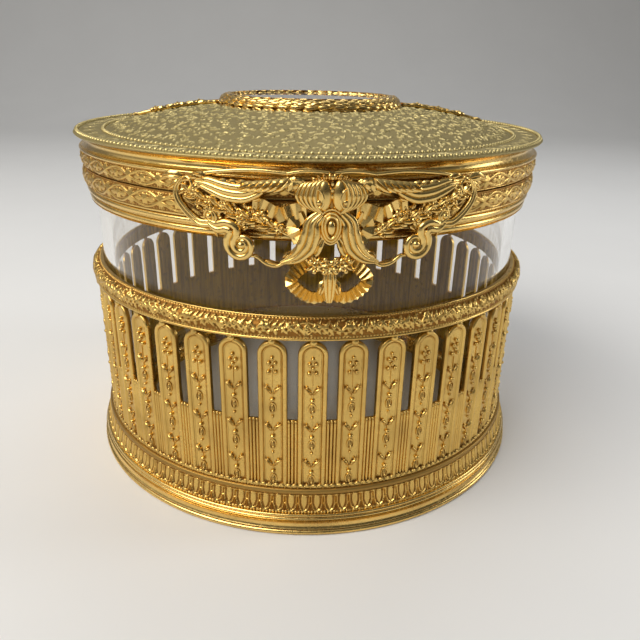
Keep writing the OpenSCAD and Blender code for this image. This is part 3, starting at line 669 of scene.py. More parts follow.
def clear_glass(name, tint):
    """Clear glass that lets the light of the lamps through to what it holds."""
    glass = Finish(name)
    glass.dress(
        Base_Color=tint, Transmission_Weight=1.0, IOR=1.33, Specular_IOR_Level=0.3,
        Roughness=glass.between(glass.noise(160, 4), 0.0, 0.03, 0.45, 0.8),
        Normal=glass.bump(glass.noise(60, 1), 0.05, 0.2))
    rays = glass.add("ShaderNodeLightPath").outputs
    reflected = glass.combine("SUBTRACT", rays["Is Glossy Ray"], rays["Is Transmission Ray"])
    passing = glass.highest(rays["Is Shadow Ray"], rays["Is Diffuse Ray"], reflected)
    through = glass.add("ShaderNodeBsdfTransparent", Color=(0.95, 0.94, 0.92, 1.0))
    mix = glass.add("ShaderNodeMixShader")
    for socket, value in zip(mix.inputs, (passing, glass.shader.outputs[0], through.outputs[0])):
        glass.feed(socket, value)
    glass.feed(glass.tree.nodes["Material Output"].inputs["Surface"], mix.outputs[0])


def enamel(name, colour):
    """Plain fired enamel with a faint craze."""
    fired = Finish(name)
    cracks = fired.add("ShaderNodeTexVoronoi", {"feature": "DISTANCE_TO_EDGE"}, Scale=260)
    fired.feed(cracks.inputs["Vector"], fired.place)
    craze = fired.between(cracks.outputs["Distance"], 0.35, 0.0, 0.0, 0.02)
    fired.dress(
        Base_Color=fired.blend(craze, colour, shaded(colour, 0.62)),
        Roughness=fired.between(fired.noise(300, 3), 0.12, 0.3),
        Coat_Weight=0.4)


class CasketFinish(bpy.types.PropertyGroup):
    """Colours and wear of the casket, and the colour of its painted shade."""

    gilt: FloatVectorProperty(
        name="Gilding", description="Colour of the satin gilding", subtype="COLOR",
        default=(0.78, 0.52, 0.15), min=0, max=1)
    matt: FloatVectorProperty(
        name="Matt gilding", description="Colour of the stamped top of the lid", subtype="COLOR",
        default=(0.50, 0.40, 0.17), min=0, max=1)
    bright: FloatVectorProperty(
        name="Burnished gilding", description="Colour of the castings and mouldings",
        subtype="COLOR", default=(0.87, 0.60, 0.20), min=0, max=1)
    # painted shade: the gilding is blended towards this colour where it lies deep
    hollow: FloatVectorProperty(
        name="Hollows", description="Colour of the gilding where it lies deep", subtype="COLOR",
        default=(0.20, 0.095, 0.02), min=0, max=1)
    tint: FloatVectorProperty(
        name="Glass", description="Tint of the glass", subtype="COLOR",
        default=(0.98, 0.968, 0.95), min=0, max=1)
    enamel: FloatVectorProperty(
        name="Enamel", description="Colour of the plaque in the medallion", subtype="COLOR",
        default=(0.46, 0.39, 0.27), min=0, max=1)
    backs: FloatVectorProperty(
        name="Backs", description="Colour of the gallery's plain back", subtype="COLOR",
        default=(1.0, 0.66, 0.06), min=0, max=1)
    streaks: FloatVectorProperty(
        name="Streaks", description="Colour of the streaks on the gallery's back", subtype="COLOR",
        default=(0.62, 0.36, 0.025), min=0, max=1)
    patina: FloatProperty(
        name="Patina", description="How much of the gilding is tarnished", subtype="FACTOR",
        default=0.3, min=0, max=1)


class CasketSizes(bpy.types.PropertyGroup):
    """Counts and sizes of the ornament, lengths in millimetres."""

    pales: IntProperty(
        name="Pales", description="Round-arched pales round the gallery", default=42, min=30,
        max=48)
    slit: FloatProperty(
        name="Slit", description="Width of the open slit between two pales, in millimetres",
        default=2.8, min=2, max=4)
    dado: FloatProperty(
        name="Reeds", description="Height of the reeds below the slits, in millimetres",
        default=21.4, min=12, max=28)
    turn: FloatProperty(
        name="Turn", description="Turn of the gallery from having a slit in front, in degrees",
        default=1.6, min=0, max=8.5)
    tongues: IntProperty(
        name="Tongues", description="Leaves of the foot's frieze under each pale", default=3,
        min=2, max=4)
    scrolls: IntProperty(
        name="Scrolls", description="Repeats of the scrolling leaf on the band", default=21,
        min=14, max=30)
    eyes: IntProperty(
        name="Eyes", description="Eyes of the plaited friezes round the seam", default=42,
        min=30, max=70)
    sectors: IntProperty(
        name="Sectors", description="Repeats of the foliage round the lid", default=12, min=8,
        max=16)
    rim_beads: IntProperty(
        name="Rim beads", description="Beads round the rim of the lid", default=276, min=180,
        max=300)
    wreath: IntProperty(
        name="Wreath", description="Bundles of leaves round the medallion", default=44, min=24,
        max=60)


def sizes():
    """The scene's sizes of the ornament."""
    return bpy.context.scene.casket_sizes


def finish_named(name):
    """The named finish, made on first use from the scene's colours."""
    if name not in bpy.data.materials:
        look = bpy.context.scene.casket_finish
        gilt, bright, matt, hollow, backs, streaks, tint, plain = (
            tuple(c) for c in (look.gilt, look.bright, look.matt, look.hollow, look.backs,
                               look.streaks, look.tint, look.enamel))
        # second colour of each gilt finish: painted shade for what lies deep; in rolled_gilding,
        # the streaks and painted embossing shade
        makers = {
            "satin_gilding": (gilding, gilt, hollow, 0.3, 0.3, 2600, look.patina),
            "fine_gilding": (gilding, gilt, shaded(hollow, 1.7), 0.28, 0.3, 2600, look.patina),
            # stamped_gilding: a lighter copy of matt on what stands proud, a darker one as painted
            # shade in the ground
            "stamped_gilding": (gilding, shaded(matt, 1.25), shaded(matt, 0.5), 0.36, 0.8, 1900,
                                look.patina),
            "chased_gilding": (gilding, bright, shaded(hollow, 1.5), 0.2, 0.25, 2200, 0.2),
            "hinge_brass": (gilding, gilt, hollow, 0.34, 0.4, 1500, look.patina, False),
            "burnished_gilding": (burnished, bright, hollow, 0.2),
            "rolled_gilding": (rolled, backs, streaks),
            "cup_glass": (clear_glass, tint),
            "plaque_enamel": (enamel, plain),
        }
        make, *looks = makers[name]
        make(name, *looks)
    return bpy.data.materials[name]


# --- Foot ---------------------------------------------------------------------


def tongue(relief, width, run):
    """A round-ended leaf with a raised border, between two darts."""
    half = width / 2
    side = [(-0.82 * half, run), (-0.8 * half, 0.5 * run), (-0.55 * half, 0.25 * run),
            (0, 0.1 * run)]
    relief.ridge(side, 0.42, 0.42)
    relief.ridge([(-x, y) for x, y in side], 0.42, 0.42)
    relief.petal(0, run * 1.1, -90, run * 0.95, width * 0.5, 0.3)
    relief.ridge([(-half, 0.05 * run), (-half, 0.55 * run)], 0.4, 0.36, 0.3)
    relief.ridge([(-half, 0.96 * run), (half, 0.96 * run)], 0.35, 0.3)
    for k in range(4):
        relief.bead((k - 1.5) * width / 4, 0.05 * run, 0.42, 0.35 + 0.08 * (k % 2))


class CASKET_OT_foot(bpy.types.Operator):
    """Makes the turned foot, the frieze of tongues and the fillet above it"""

    bl_idname = "casket.foot"
    bl_label = "Foot"

    def execute(self, context):
        inner = R_GLASS + FIT
        sleeve = inner + SLEEVE_WALL
        seat = R_GLASS - SEAT_WIDTH
        bead = 1.0
        torus = 0.75
        hollow = 2 * torus + 0.4
        cavetto = Z_LEAF - 2 * bead - 2
        rise = 2 + cavetto
        profile = [(seat, Z_FOOT), (R_FOOT - 0.6, Z_FOOT)]
        profile += arc(R_FOOT - torus, torus, torus, -78, 90, 12)
        profile += [(R_FOOT - 1.1, 2 * torus), (R_FOOT - 1.1, 1.8), (R_FOOT - 0.5, 1.8)]
        profile += swell(R_FOOT - 0.5, hollow, hollow + cavetto, -0.5, 12)
        profile += [(R_FOOT - 1.2, rise)]
        profile += arc(R_FOOT - 1.3, rise + bead / 2, bead / 2, -80, 80, 10)
        profile += [(R_FOOT - 1.5, rise + bead)]
        profile += arc(R_FOOT - 1.5, Z_LEAF - bead / 2, bead / 2, -80, 80, 10)
        profile += [(R_FOOT - 1.6, Z_LEAF), (sleeve, Z_LEAF), (sleeve, Z_GALLERY)]
        profile += [(inner, Z_GALLERY), (inner, Z_SEAT), (seat, Z_SEAT)]
        turned_piece("foot_ring_turned", "casket", "burnished_gilding",
                     ["foot_ring"], profile)
        back = sleeve + FIT
        chased_piece("leaf_frieze_chased", "casket", ["leaf_frieze"],
                     [(R_LEAF - 0.45, Z_LEAF + 0.02), (R_LEAF - 0.4, Z_LEAF + 0.5),
                      (R_FILLET - 0.35, Z_FILLET)],
                     R_LEAF, sizes().pales * sizes().tongues, 0.18, tongue,
                     [(back, Z_FILLET), (back, Z_LEAF + 0.02)])
        profile = [(back, Z_FILLET), (R_FILLET - 0.4, Z_FILLET)]
        profile += swell(R_FILLET - 0.3, Z_FILLET + FIT, Z_GALLERY - FIT, 0.28)
        profile += [(R_FILLET - 0.5, Z_GALLERY), (back, Z_GALLERY)]
        # painted shade: the fillet gets a low relief and darkens
        turned_piece("fillet_ring_turned", "casket", "satin_gilding", ["fillet_ring"],
                     profile, 0.2)
        return {"FINISHED"}


# --- Gallery ------------------------------------------------------------------


def husk(shape, top, last):
    """One bell flower of the chain that hangs down a pale, with its bud."""
    level = -0.42
    for side in (-1, 1):
        leaf(shape, (side * 0.3, top - 2.7), 90 - side * 20, 3.2, 0.95, level + 0.05, 0.25,
             bend=-side * 46, rise=0.5, steps=7)
        ball(shape, (side * 0.75, top - 1.5, level + 0.15), (0.38, 0.38, 0.5), rings=5, sides=8)
        ball(shape, (side * 1.45, top - 0.35, level + 0.15), (0.36, 0.36, 0.45), rings=5, sides=8)
    bar(shape, [(0, top - 2.3), (0, top - 3.1), (0, top - 3.9)], 0.24, 0.3, (1, 1), lift=level,
        sides=6)
    ball(shape, (0, top - 4.2, level + 0.25), (0.78, 0.6, 0.75), relief=1.0)
    ring = [(0.95 * math.sin(a), top - 6.8 + 1.55 * math.cos(a))
            for a in np.linspace(0, 2 * math.pi, 17)]
    bar(shape, ring, 0.2, 0.3, (1, 1), lift=level, sides=6)
    # painted shade: the oval drop gets a low relief and shows as a dark hollow behind its bud
    ball(shape, (0, top - 6.9, level - 0.02), (0.62, 1.1, 0.5), relief=0.3)
    ball(shape, (0.1, top - 7.6, level + 0.3), (0.42, 0.55, 0.45), relief=1.0, rings=5, sides=8)
    if not last:
        ball(shape, (0, top - 9.4, level + 0.2), (0.45, 0.45, 0.5), rings=5, sides=8)


def pale(width, low, crown):
    """One pale: raised border round a sunk panel with its chain of husks."""
    shape = Shape()
    arch = width / 2
    spring = crown - arch
    middle = arch - 0.02
    # (inset from the edge, reach, relief) from the back round the border to the panel; the low
    # relief of the groove inside the border paints shade there
    section = ((middle, -GALLERY_THICK, 1), (0, -GALLERY_THICK, 1), (0, -0.45, 0.7),
               (0.1, -0.2, 0.9), (0.3, -0.02, 1), (0.6, 0.1, 1), (0.9, 0.06, 1),
               (1.1, -0.04, 0.9), (1.22, -0.28, 0.45), (1.36, -0.46, 0.25), (1.48, -0.36, 0.6),
               (1.6, -0.4, 0.55), (1.72, -0.56, 0.3), (1.86, -0.62, 0.62), (2.6, -0.54, 0.75),
               (middle, -0.46, 0.78))
    angles = np.radians(np.linspace(180, 0, 25))
    rows = []
    for inset, out, _ in section:
        r = arch - inset
        bow = [(r * math.cos(a), spring + r * math.sin(a), out) for a in angles]
        rows.append([(-r, low, out), *bow, (r, low, out)])
    points = np.array(rows)
    proud = np.array([relief for _, _, relief in section])
    shape.grid(points, np.broadcast_to(proud[:, None], points.shape[:2]))
    # grapes at the head, on their stem
    for x, z in ((0, 53.5), (-0.85, 52.0), (0.85, 52.0), (0, 50.8), (-0.95, 49.4), (0.95, 49.4)):
        ball(shape, (x, z, -0.2), (0.6, 0.66, 0.62), relief=1.0, rings=6, sides=10)
    bar(shape, [(0, 49.8), (0, 47.8), (0, 45.0)], 0.2, 0.28, (1, 0.8), lift=-0.42, sides=6)
    for top, last in ((45.6, False), (34.2, False), (22.8, True)):
        husk(shape, top, last)
    # tab that ties the arch to the band
    ball(shape, (0, crown + 0.15, 0.1), (1.0, 1.05, 0.8), relief=1.0, rings=9, sides=14)
    return shape


def reeds(width, low, top):
    """Three reeds that close the foot of a slit, with crinkled tops."""
    shape = Shape()
    across = np.linspace(-0.5, 0.5, 22)
    share = np.abs(((across + 0.5) * 3) % 1 - 0.5) * 2
    share[[0, -1]] = 1
    rise = 0.85 * np.sqrt(np.clip(1 - share * share, 0, 1))
    rows = []
    for z, k in ((low, 1), (top - 0.9, 1), (top - 0.5, 0.85), (top - 0.2, 0.55), (top, 0.1)):
        line = [(x * width, z, -0.98 + r * k) for x, r in zip(across, rise)]
        rows.append([(-width / 2, z, -GALLERY_THICK)] + line + [(width / 2, z, -GALLERY_THICK)])
    points = np.array(rows)
    # painted shade: the grooves between the reeds get a low relief, and the cap over them half, so
    # they darken
    proud = np.concatenate([[1], 0.05 + 0.95 * rise / 0.85, [1]])
    shape.grid(points, np.broadcast_to(proud, points.shape[:2]), wrap_v=True)
    cap = np.array([rows[-1], [(x, top, -GALLERY_THICK) for x, _, _ in rows[-1]]])
    shape.grid(cap, 0.5)
    for k, x in enumerate((-1, 0, 1)):
        ball(shape, (x * width / 3, top - 0.15, -0.5), (0.48, 0.42 + 0.1 * (k % 2), 0.4), rings=5,
             sides=8)
    return shape


def crinkle(relief, width, run):
    """Small upright leaves with grains between them."""
    for k in range(6):
        lean = 8 if k % 2 else -6
        relief.petal((k - 2.5) * width / 6, 0, 90 + lean, run * 1.05, width / 5.4, 0.42)
        relief.bead((k - 2) * width / 6, 0.25, 0.36, 0.5)


def plain_back(piece, radius, finish):
    """Gives the faces that look inwards, within a radius in millimetres, another finish."""
    piece.data.materials.append(finish_named(finish))
    for face in piece.data.polygons:
        x, y, _ = face.center
        inward = face.normal.x * x + face.normal.y * y < 0
        face.material_index = int(inward and math.hypot(x, y) < radius * MM)


class CASKET_OT_gallery(bpy.types.Operator):
    """Makes the pierced gallery of round-arched pales"""

    bl_idname = "casket.gallery"
    bl_label = "Gallery"

    def execute(self, context):
        count = sizes().pales
        pitch = 2 * math.pi * R_GALLERY / count
        one_pale = pale(pitch - sizes().slit, Z_GALLERY, Z_CROWN - CROWN_DROP)
        one_foot = reeds(sizes().slit + 0.1, Z_GALLERY, Z_GALLERY + sizes().dado)
        gallery = Shape()
        for i in range(count):
            turn = sizes().turn + 360 / count * i
            gallery.extend(one_foot, on_wall(R_GALLERY, turn))
            gallery.extend(one_pale, on_wall(R_GALLERY, turn + 180 / count))
        back = R_GALLERY - GALLERY_THICK
        turned(gallery,
               [(back, Z_CROWN), (R_GALLERY, Z_CROWN), (R_GALLERY, Z_STRIP), (back, Z_STRIP)])
        behind = R_GALLERY - 0.7
        chased_ring(gallery,
                    [(R_GALLERY + FIT, Z_GALLERY + 0.02), (R_GALLERY - 0.1, Z_GALLERY + 1.2)],
                    R_GALLERY, count, 0.2, crinkle,
                    [(behind, Z_GALLERY + 1.3), (behind, Z_GALLERY + 0.02)])
        piece = gallery.build("gallery_pierced", "casket", "satin_gilding",
                              ["gallery"], crease=50)
        plain_back(piece, back + 0.1, "rolled_gilding")
        return {"FINISHED"}


def rinceau(relief, width, run):
    """Scrolling acanthus, thick with leaves, that winds up and down along one wavy stem."""
    rng = np.random.default_rng(7)
    middle = run * 0.5
    swing = run * 0.2
    x = np.linspace(-width / 2, width / 2, 49)
    relief.ridge(np.stack([x, middle + swing * np.sin(2 * math.pi * x / width)], -1), 0.5, 0.5)
    for side in (-1, 1):
        cx, cy = side * width / 4, middle - side * swing * 0.55
        relief.ridge(spiral(cx, cy, run * 0.26, 0.5, 90 * side, -side * 1.1, 16), 0.45, 0.55, 0.8)
        for k in range(6):
            relief.petal(cx, cy, 60 * k, 1.15, 0.75, 0.5)
        relief.bead(cx, cy, 0.42, 0.66)
    for k in range(22):
        t = (k + 0.5) / 22 - 0.5
        y = middle + swing * math.sin(2 * math.pi * t)
        side = 1 if k % 2 else -1
        length = run * (0.5 - side * 0.3 * math.sin(2 * math.pi * t)) * 0.85
        relief.petal(t * width, y, side * (58 + rng.uniform(-14, 14)), length, 1.0, 0.5)
        relief.petal(t * width + 0.4, y, side * (128 + rng.uniform(-14, 14)), length * 0.7,
                     0.75, 0.42)
    for k in range(40):
        x, y = rng.uniform(-0.5, 0.5) * width, rng.uniform(0.06, 0.94) * run
        relief.bead(x, y, rng.uniform(0.24, 0.4), 0.34)
    for k in range(24):
        relief.bead((k - 11.5) * width / 24, run * 0.04, 0.36, 0.36)
        relief.bead((k - 11.5) * width / 24, run * 0.97, 0.36, 0.3)


class CASKET_OT_band(bpy.types.Operator):
    """Makes the foliate band over the gallery"""

    bl_idname = "casket.band"
    bl_label = "Gallery band"

    def execute(self, context):
        band = Shape()
        inner = R_GLASS + FIT
        back = R_GALLERY + FIT
        face = np.array([(R_BAND - 0.75, Z_CROWN + 0.75), (R_BAND - 0.5, Z_CROWN + 2.2),
                         (R_BAND - 0.5, Z_CROWN + 3.6), (R_BAND - 0.95, Z_STRIP - 0.1),
                         (R_GALLERY - 0.7, Z_BAND_TOP - 0.75), (inner + 1.1, Z_BAND_TOP - 0.45)])
        chased_ring(band, curve(face, 5), R_BAND, sizes().scrolls, 0.17, rinceau,
                    [(inner + 1.1, Z_STRIP), (back, Z_STRIP), (back, Z_CROWN + 0.7)], 0.85)
        turned(band, [(back, Z_CROWN)] + arc(R_BAND - 0.75, Z_CROWN + 0.4, 0.38, -90, 90, 10)
               + [(back, Z_CROWN + 0.8)])
        turned(band, [(inner, Z_STRIP), (inner + 1.2, Z_STRIP)]
               + arc(inner + 0.95, Z_BAND_TOP - 0.3, 0.26, 0, 90, 6)
               + arc(inner + 0.4, Z_BAND_TOP - 0.35, 0.3, 90, 180, 6) + [(inner, Z_STRIP + 0.2)])
        band.build("gallery_band_chased", "casket", "fine_gilding", ["gallery_band"],
                   weld=False)
        return {"FINISHED"}


# --- Glass --------------------------------------------------------------------


class CASKET_OT_cup(bpy.types.Operator):
    """Makes the clear glass cup"""

    bl_idname = "casket.cup"
    bl_label = "Glass cup"

    def execute(self, context):
        mouth = R_GLASS - GLASS_WALL
        cove = 3.0
        floor = Z_SEAT + GLASS_FLOOR
        wall = [Z_SEAT + 1.15, Z_SEAT + 3, Z_STRIP, Z_GLASS_TOP - 3, Z_GLASS_TOP - 0.5]
        profile = [(r, Z_SEAT) for r in (0, R_GLASS * 0.5, R_GLASS - 2, R_GLASS - 1.15)]
        profile += arc(R_GLASS - 1, Z_SEAT + 1, 1, -90, 0, 8) + [(R_GLASS, z) for z in wall]
        profile += arc(R_GLASS - 0.4, Z_GLASS_TOP - 0.4, 0.4, 0, 90, 4)
        profile += arc(mouth + 0.4, Z_GLASS_TOP - 0.4, 0.4, 90, 180, 4)
        profile += [(mouth, z) for z in (*wall[:1:-1], floor + cove + 2, floor + cove + 0.15)]
        profile += arc(mouth - cove, floor + cove, cove, 0, -90, 12)
        profile += [(r, floor) for r in (mouth - cove - 0.15, mouth - cove - 2, R_GLASS * 0.5, 0)]
        turned_piece("glass_cup_clear", "casket", "cup_glass", ["glass_cup"],
                     profile, steps=256, closed=False)
        return {"FINISHED"}


# --- Collar and the sides of the lid ------------------------------------------


def plait(relief, width, run):
    """Two strands that plait into eyes, each with a rosette."""
    middle = run / 2
    swing = run * 0.36
    x = np.linspace(-width / 2, width / 2, 25)
    wave = swing * np.cos(math.pi * x / width)
    for share, width_of_strand, height in ((1, 0.62, 0.46), (0.62, 0.3, 0.26)):
        for side in (1, -1):
            strand = np.stack([x, middle + side * share * wave], -1)
            relief.ridge(strand, width_of_strand, height)
    for k in range(6):
        relief.petal(0, middle, 60 * k, swing * 0.86, swing * 0.62, 0.4)
    relief.bead(0, middle, 0.42, 0.6)
    for side in (-1, 1):
        relief.petal(side * 0.9, middle, 90 - side * 90, swing * 1.5, swing * 0.8, 0.34)
        for k in range(5):
            relief.petal(-width / 2 + 0.02, middle + side * 0.3, side * (90 + 27 * (k - 2)),
                         swing * (1.15 - 0.1 * abs(k - 2)), 0.55, 0.4)
        for k in range(10):
            relief.bead((k - 4.5) * width / 10, middle + side * run * 0.36, 0.26, 0.2)
        rim = middle + side * run * 0.47
        relief.ridge([(-width / 2, rim), (width / 2, rim)], 0.3, 0.3)


class CASKET_OT_collar(bpy.types.Operator):
    """Makes the collar over the rim of the glass and its plaited frieze"""

    bl_idname = "casket.collar"
    bl_label = "Collar"

    def execute(self, context):
        inner = R_GLASS + FIT
        lip = R_GLASS - GLASS_WALL - FIT
        bed = R_COLLAR - 0.55
        step = (Z_COLLAR_FRIEZE - Z_COLLAR) / 3
        low = Z_COLLAR + step
        profile = [(inner, Z_COLLAR), (R_COLLAR - 1.1, Z_COLLAR), (R_COLLAR - 0.8, Z_COLLAR + 0.3)]
        profile += arc(R_COLLAR - 0.6 - step / 2, Z_COLLAR + 0.45 + step / 2, step / 2, -75, 80, 14)
        profile += [(R_COLLAR - 1.1, low + 0.6), (R_COLLAR - 1.1, low + 0.9)]
        profile += arc(R_COLLAR - 0.05 - step / 2, low + 1 + step / 2, step / 2, -80, 80, 14)
        profile += [(R_COLLAR - 0.8, low + step + 1.1), (R_COLLAR - 0.3, Z_COLLAR_FRIEZE - 0.35),
                    (R_COLLAR - 0.1, Z_COLLAR_FRIEZE - 0.3), (R_COLLAR - 0.1, Z_COLLAR_FRIEZE),
                    (bed, Z_COLLAR_FRIEZE), (bed, Z_MOUTH), (lip - LIP_WIDTH, Z_MOUTH),
                    (lip - LIP_WIDTH, Z_GLASS_TOP - 4), (lip, Z_GLASS_TOP - 4),
                    (lip, Z_GLASS_TOP + FIT), (inner, Z_GLASS_TOP + FIT)]
        turned_piece("collar_turned", "casket", "burnished_gilding", ["collar"],
                     profile)
        bulge = 0.62
        line = swell(R_COLLAR_FRIEZE - bulge - 0.25, Z_COLLAR_FRIEZE, Z_MOUTH, bulge)
        chased_piece("collar_frieze_chased", "casket", ["collar_frieze"], line, R_COLLAR_FRIEZE,
                     sizes().eyes, 0.17, plait,
                     [(bed + FIT, Z_MOUTH), (bed + FIT, Z_COLLAR_FRIEZE)], 0.6)
        return {"FINISHED"}


class CASKET_OT_lid_sides(bpy.types.Operator):
    """Makes the frieze, the bead and the cove of the lid"""

    bl_idname = "casket.lid_sides"
    bl_label = "Sides of the lid"

    def execute(self, context):
        inside = R_COVE - LID_WALL + 0.1
        bulge = 0.55
        line = swell(R_LID_FRIEZE - bulge - 0.25, Z_LID, Z_LID_BEAD, bulge)
        chased_piece("lid_frieze_chased", "lid", ["lid_frieze"], line, R_LID_FRIEZE,
                     sizes().eyes, 0.17, plait, [(inside, Z_LID_BEAD), (inside, Z_LID)], 0.6)
        radius = (Z_COVE - Z_LID_BEAD) / 2
        round_bead = arc(R_LID_BEAD - radius, Z_LID_BEAD + radius, radius, -88, 88, 12)
        turned_piece("lid_bead_turned", "lid", "burnished_gilding", ["lid_bead"],
                     [(inside, Z_LID_BEAD), *round_bead, (inside, Z_COVE)])
        gap = Z_PLATE - 0.45
        deep = R_COVE - 1.1
        turned_piece("lid_cove_turned", "lid", "burnished_gilding", ["lid_cove"],
                     [(inside, Z_COVE), *swell(R_COVE, Z_COVE, gap, -0.9, 16), (deep, gap),
                      (deep, Z_PLATE), (inside, Z_PLATE)], steps=512)
        return {"FINISHED"}


# --- Top of the lid -----------------------------------------------------------


def dome_foliage(relief, spread):
    """One sector of the dome's stamped foliage, spread degrees wide, about the +X direction."""
    rng = np.random.default_rng(3)
    radius = R_FRAME + 1.5
    row = 0
    while radius < R_DOME - 2:
        count = max(2, round(radius * math.radians(spread) / 5.6))
        for k in range(count):
            a = math.radians(((k + 0.5 * (row % 2)) / count - 0.5) * spread)
            r = radius + rng.uniform(-0.5, 0.5)
            x, y = r * math.cos(a), r * math.sin(a)
            turn = rng.uniform(0, 360)
            side = rng.choice((-1, 1))
            tendril = spiral(x, y, rng.uniform(1.3, 2.0), 0.4, turn, side * 0.95, 12)
            relief.ridge(tendril, 0.42, 0.36, 0.7)
            relief.bead(x, y, 0.42, 0.42)
            for lean in (10, 130, 220):
                c, s = math.cos(math.radians(turn + lean)), math.sin(math.radians(turn + lean))
                relief.petal(x + 1.9 * c, y + 1.9 * s, turn + lean + side * 60,
                             rng.uniform(1.2, 2.4), 0.6, 0.36)
        radius += 4.9
        row += 1


def margin_foliage(relief, radius, spread):
    """Small leaves along the margin, in one sector that is spread degrees wide."""
    count = 8
    for k in range(count):
        angle = (k + 0.5) / count * spread - spread / 2
        a = math.radians(angle)
        x, y = radius * math.cos(a), radius * math.sin(a)
        relief.petal(x, y, angle + 90 + (38 if k % 2 else -38), 3, 1.3, 0.32)
        relief.petal(x, y, angle - 90 + (38 if k % 2 else -38), 2.6, 1.2, 0.3)
        relief.bead(x, y, 0.6, 0.4)


class CASKET_OT_lid_plate(bpy.types.Operator):
    """Makes the stamped top plate of the lid"""

    bl_idname = "casket.lid_plate"
    bl_label = "Top plate"

    def execute(self, context):
        sectors = sizes().sectors
        spread = 360 / sectors
        cell = 0.3
        columns = round(R_DOME * math.radians(spread) / cell)
        r = np.arange(R_RIM - 0.35, R_FRAME - 1.5, -cell)
        a = np.radians((np.arange(columns) / columns - 0.5) * spread)
        x = np.outer(np.cos(a), r)
        y = np.outer(np.sin(a), r)

        def turned_by(angle):
            c, s = math.cos(angle), math.sin(angle)
            return lambda p: p @ np.array([[c, s], [-s, c]])

        relief = Relief(x, y, [turned_by(math.radians(spread) * k) for k in (-1, 0, 1)])
        dome_foliage(relief, spread)
        margin_foliage(relief, (R_DOME + R_RIM) / 2, spread)
        relief.height[:, (r < R_FRAME - 0.5) | (r > R_RIM - 1.4)] = 0
        height = np.tile(relief.height, (sectors, 1))
        under = np.linspace(R_FRAME, R_RIM - 2, 12)[:-1]
        back = [(0, Z_DOME), (0, Z_DOME - PLATE_THICK)]
        back += [(q, dome_height(q) - PLATE_THICK) for q in under]
        back += [(R_RIM - 2, Z_PLATE), (R_RIM - 0.3, Z_PLATE), (R_RIM, Z_PLATE + PLATE_THICK / 2)]
        plate = Shape()
        # painted shade: the stamped ground gets a low relief and darkens, the back somewhat less
        backed(plate, np.broadcast_to(r, height.shape), dome_height(r) + height,
               np.clip(height / 0.45 + 0.1, 0, 1), back, 0.3)
        plate.build("lid_plate_stamped", "lid", "stamped_gilding", ["lid_plate"],
                    crease=60)
        return {"FINISHED"}


def beaded_ring(name, node, outside, bead, count):
    """A row of beads on a thin wire, from its outer radius and the size of a bead."""
    ring = Shape()
    radius = outside - bead / 2
    # painted shade: the wire between the beads gets a low relief and darkens
    turned(ring, arc(radius, Z_MARGIN, bead * 0.32, 0, 180, 6), 0.2)
    one = Shape()
    ball(one, (0, 0, 0), (bead / 2, bead / 2, bead / 2), rings=7, sides=10)
    for i in range(count):
        shift = around(radius, 2 * math.pi * i / count, Z_MARGIN + bead * 0.04)
        ring.extend(one, lambda points, shift=shift: points + shift)
    ring.build(name, "lid", "stamped_gilding", [node])


class CASKET_OT_beading(bpy.types.Operator):
    """Makes the two rows of beads on the lid"""

    bl_idname = "casket.beading"
    bl_label = "Beading"

    def execute(self, context):
        count = sizes().rim_beads
        beaded_ring("rim_beading_row", "rim_beading", R_RIM_BEAD, 1.4, count)
        beaded_ring("inner_beading_row", "inner_beading", R_INNER_BEAD, 1.25, round(count * 0.85))
        return {"FINISHED"}


def bundle(rng, pitch, size):
    """Two crossed leaves of the wreath and a berry."""
    shape = Shape()
    lean = rng.uniform(14, 26)
    leaf(shape, (0, 0.1), lean, pitch * 1.25 * size, 1.9, 0, 0.45, rise=0.5, bend=-lean, steps=8)
    leaf(shape, (pitch * 0.4, -0.2), -lean, pitch * 1.2 * size, 1.7, 0, 0.4, rise=0.5, bend=lean,
         steps=8)
    ball(shape, (pitch * 0.9, rng.uniform(-0.7, 0.7), 0.3), (0.42, 0.42, 0.45), rings=5, sides=8)
    return shape


def on_wreath(start, core, tilt, level):
    """Lays (along, across, out) points on the wreath, on a row at radius core, tilted outwards."""
    c, s = math.cos(math.radians(tilt)), math.sin(math.radians(tilt))

    def move(points):
        up = points[:, 2] * 0.8
        rise = Z_FRAME + level - points[:, 1] * s + up * c
        return around(core + points[:, 1] * c + up * s, start + points[:, 0] / core,
                      np.clip(rise, Z_FRAME, Z_FRAME_TOP))
    return move


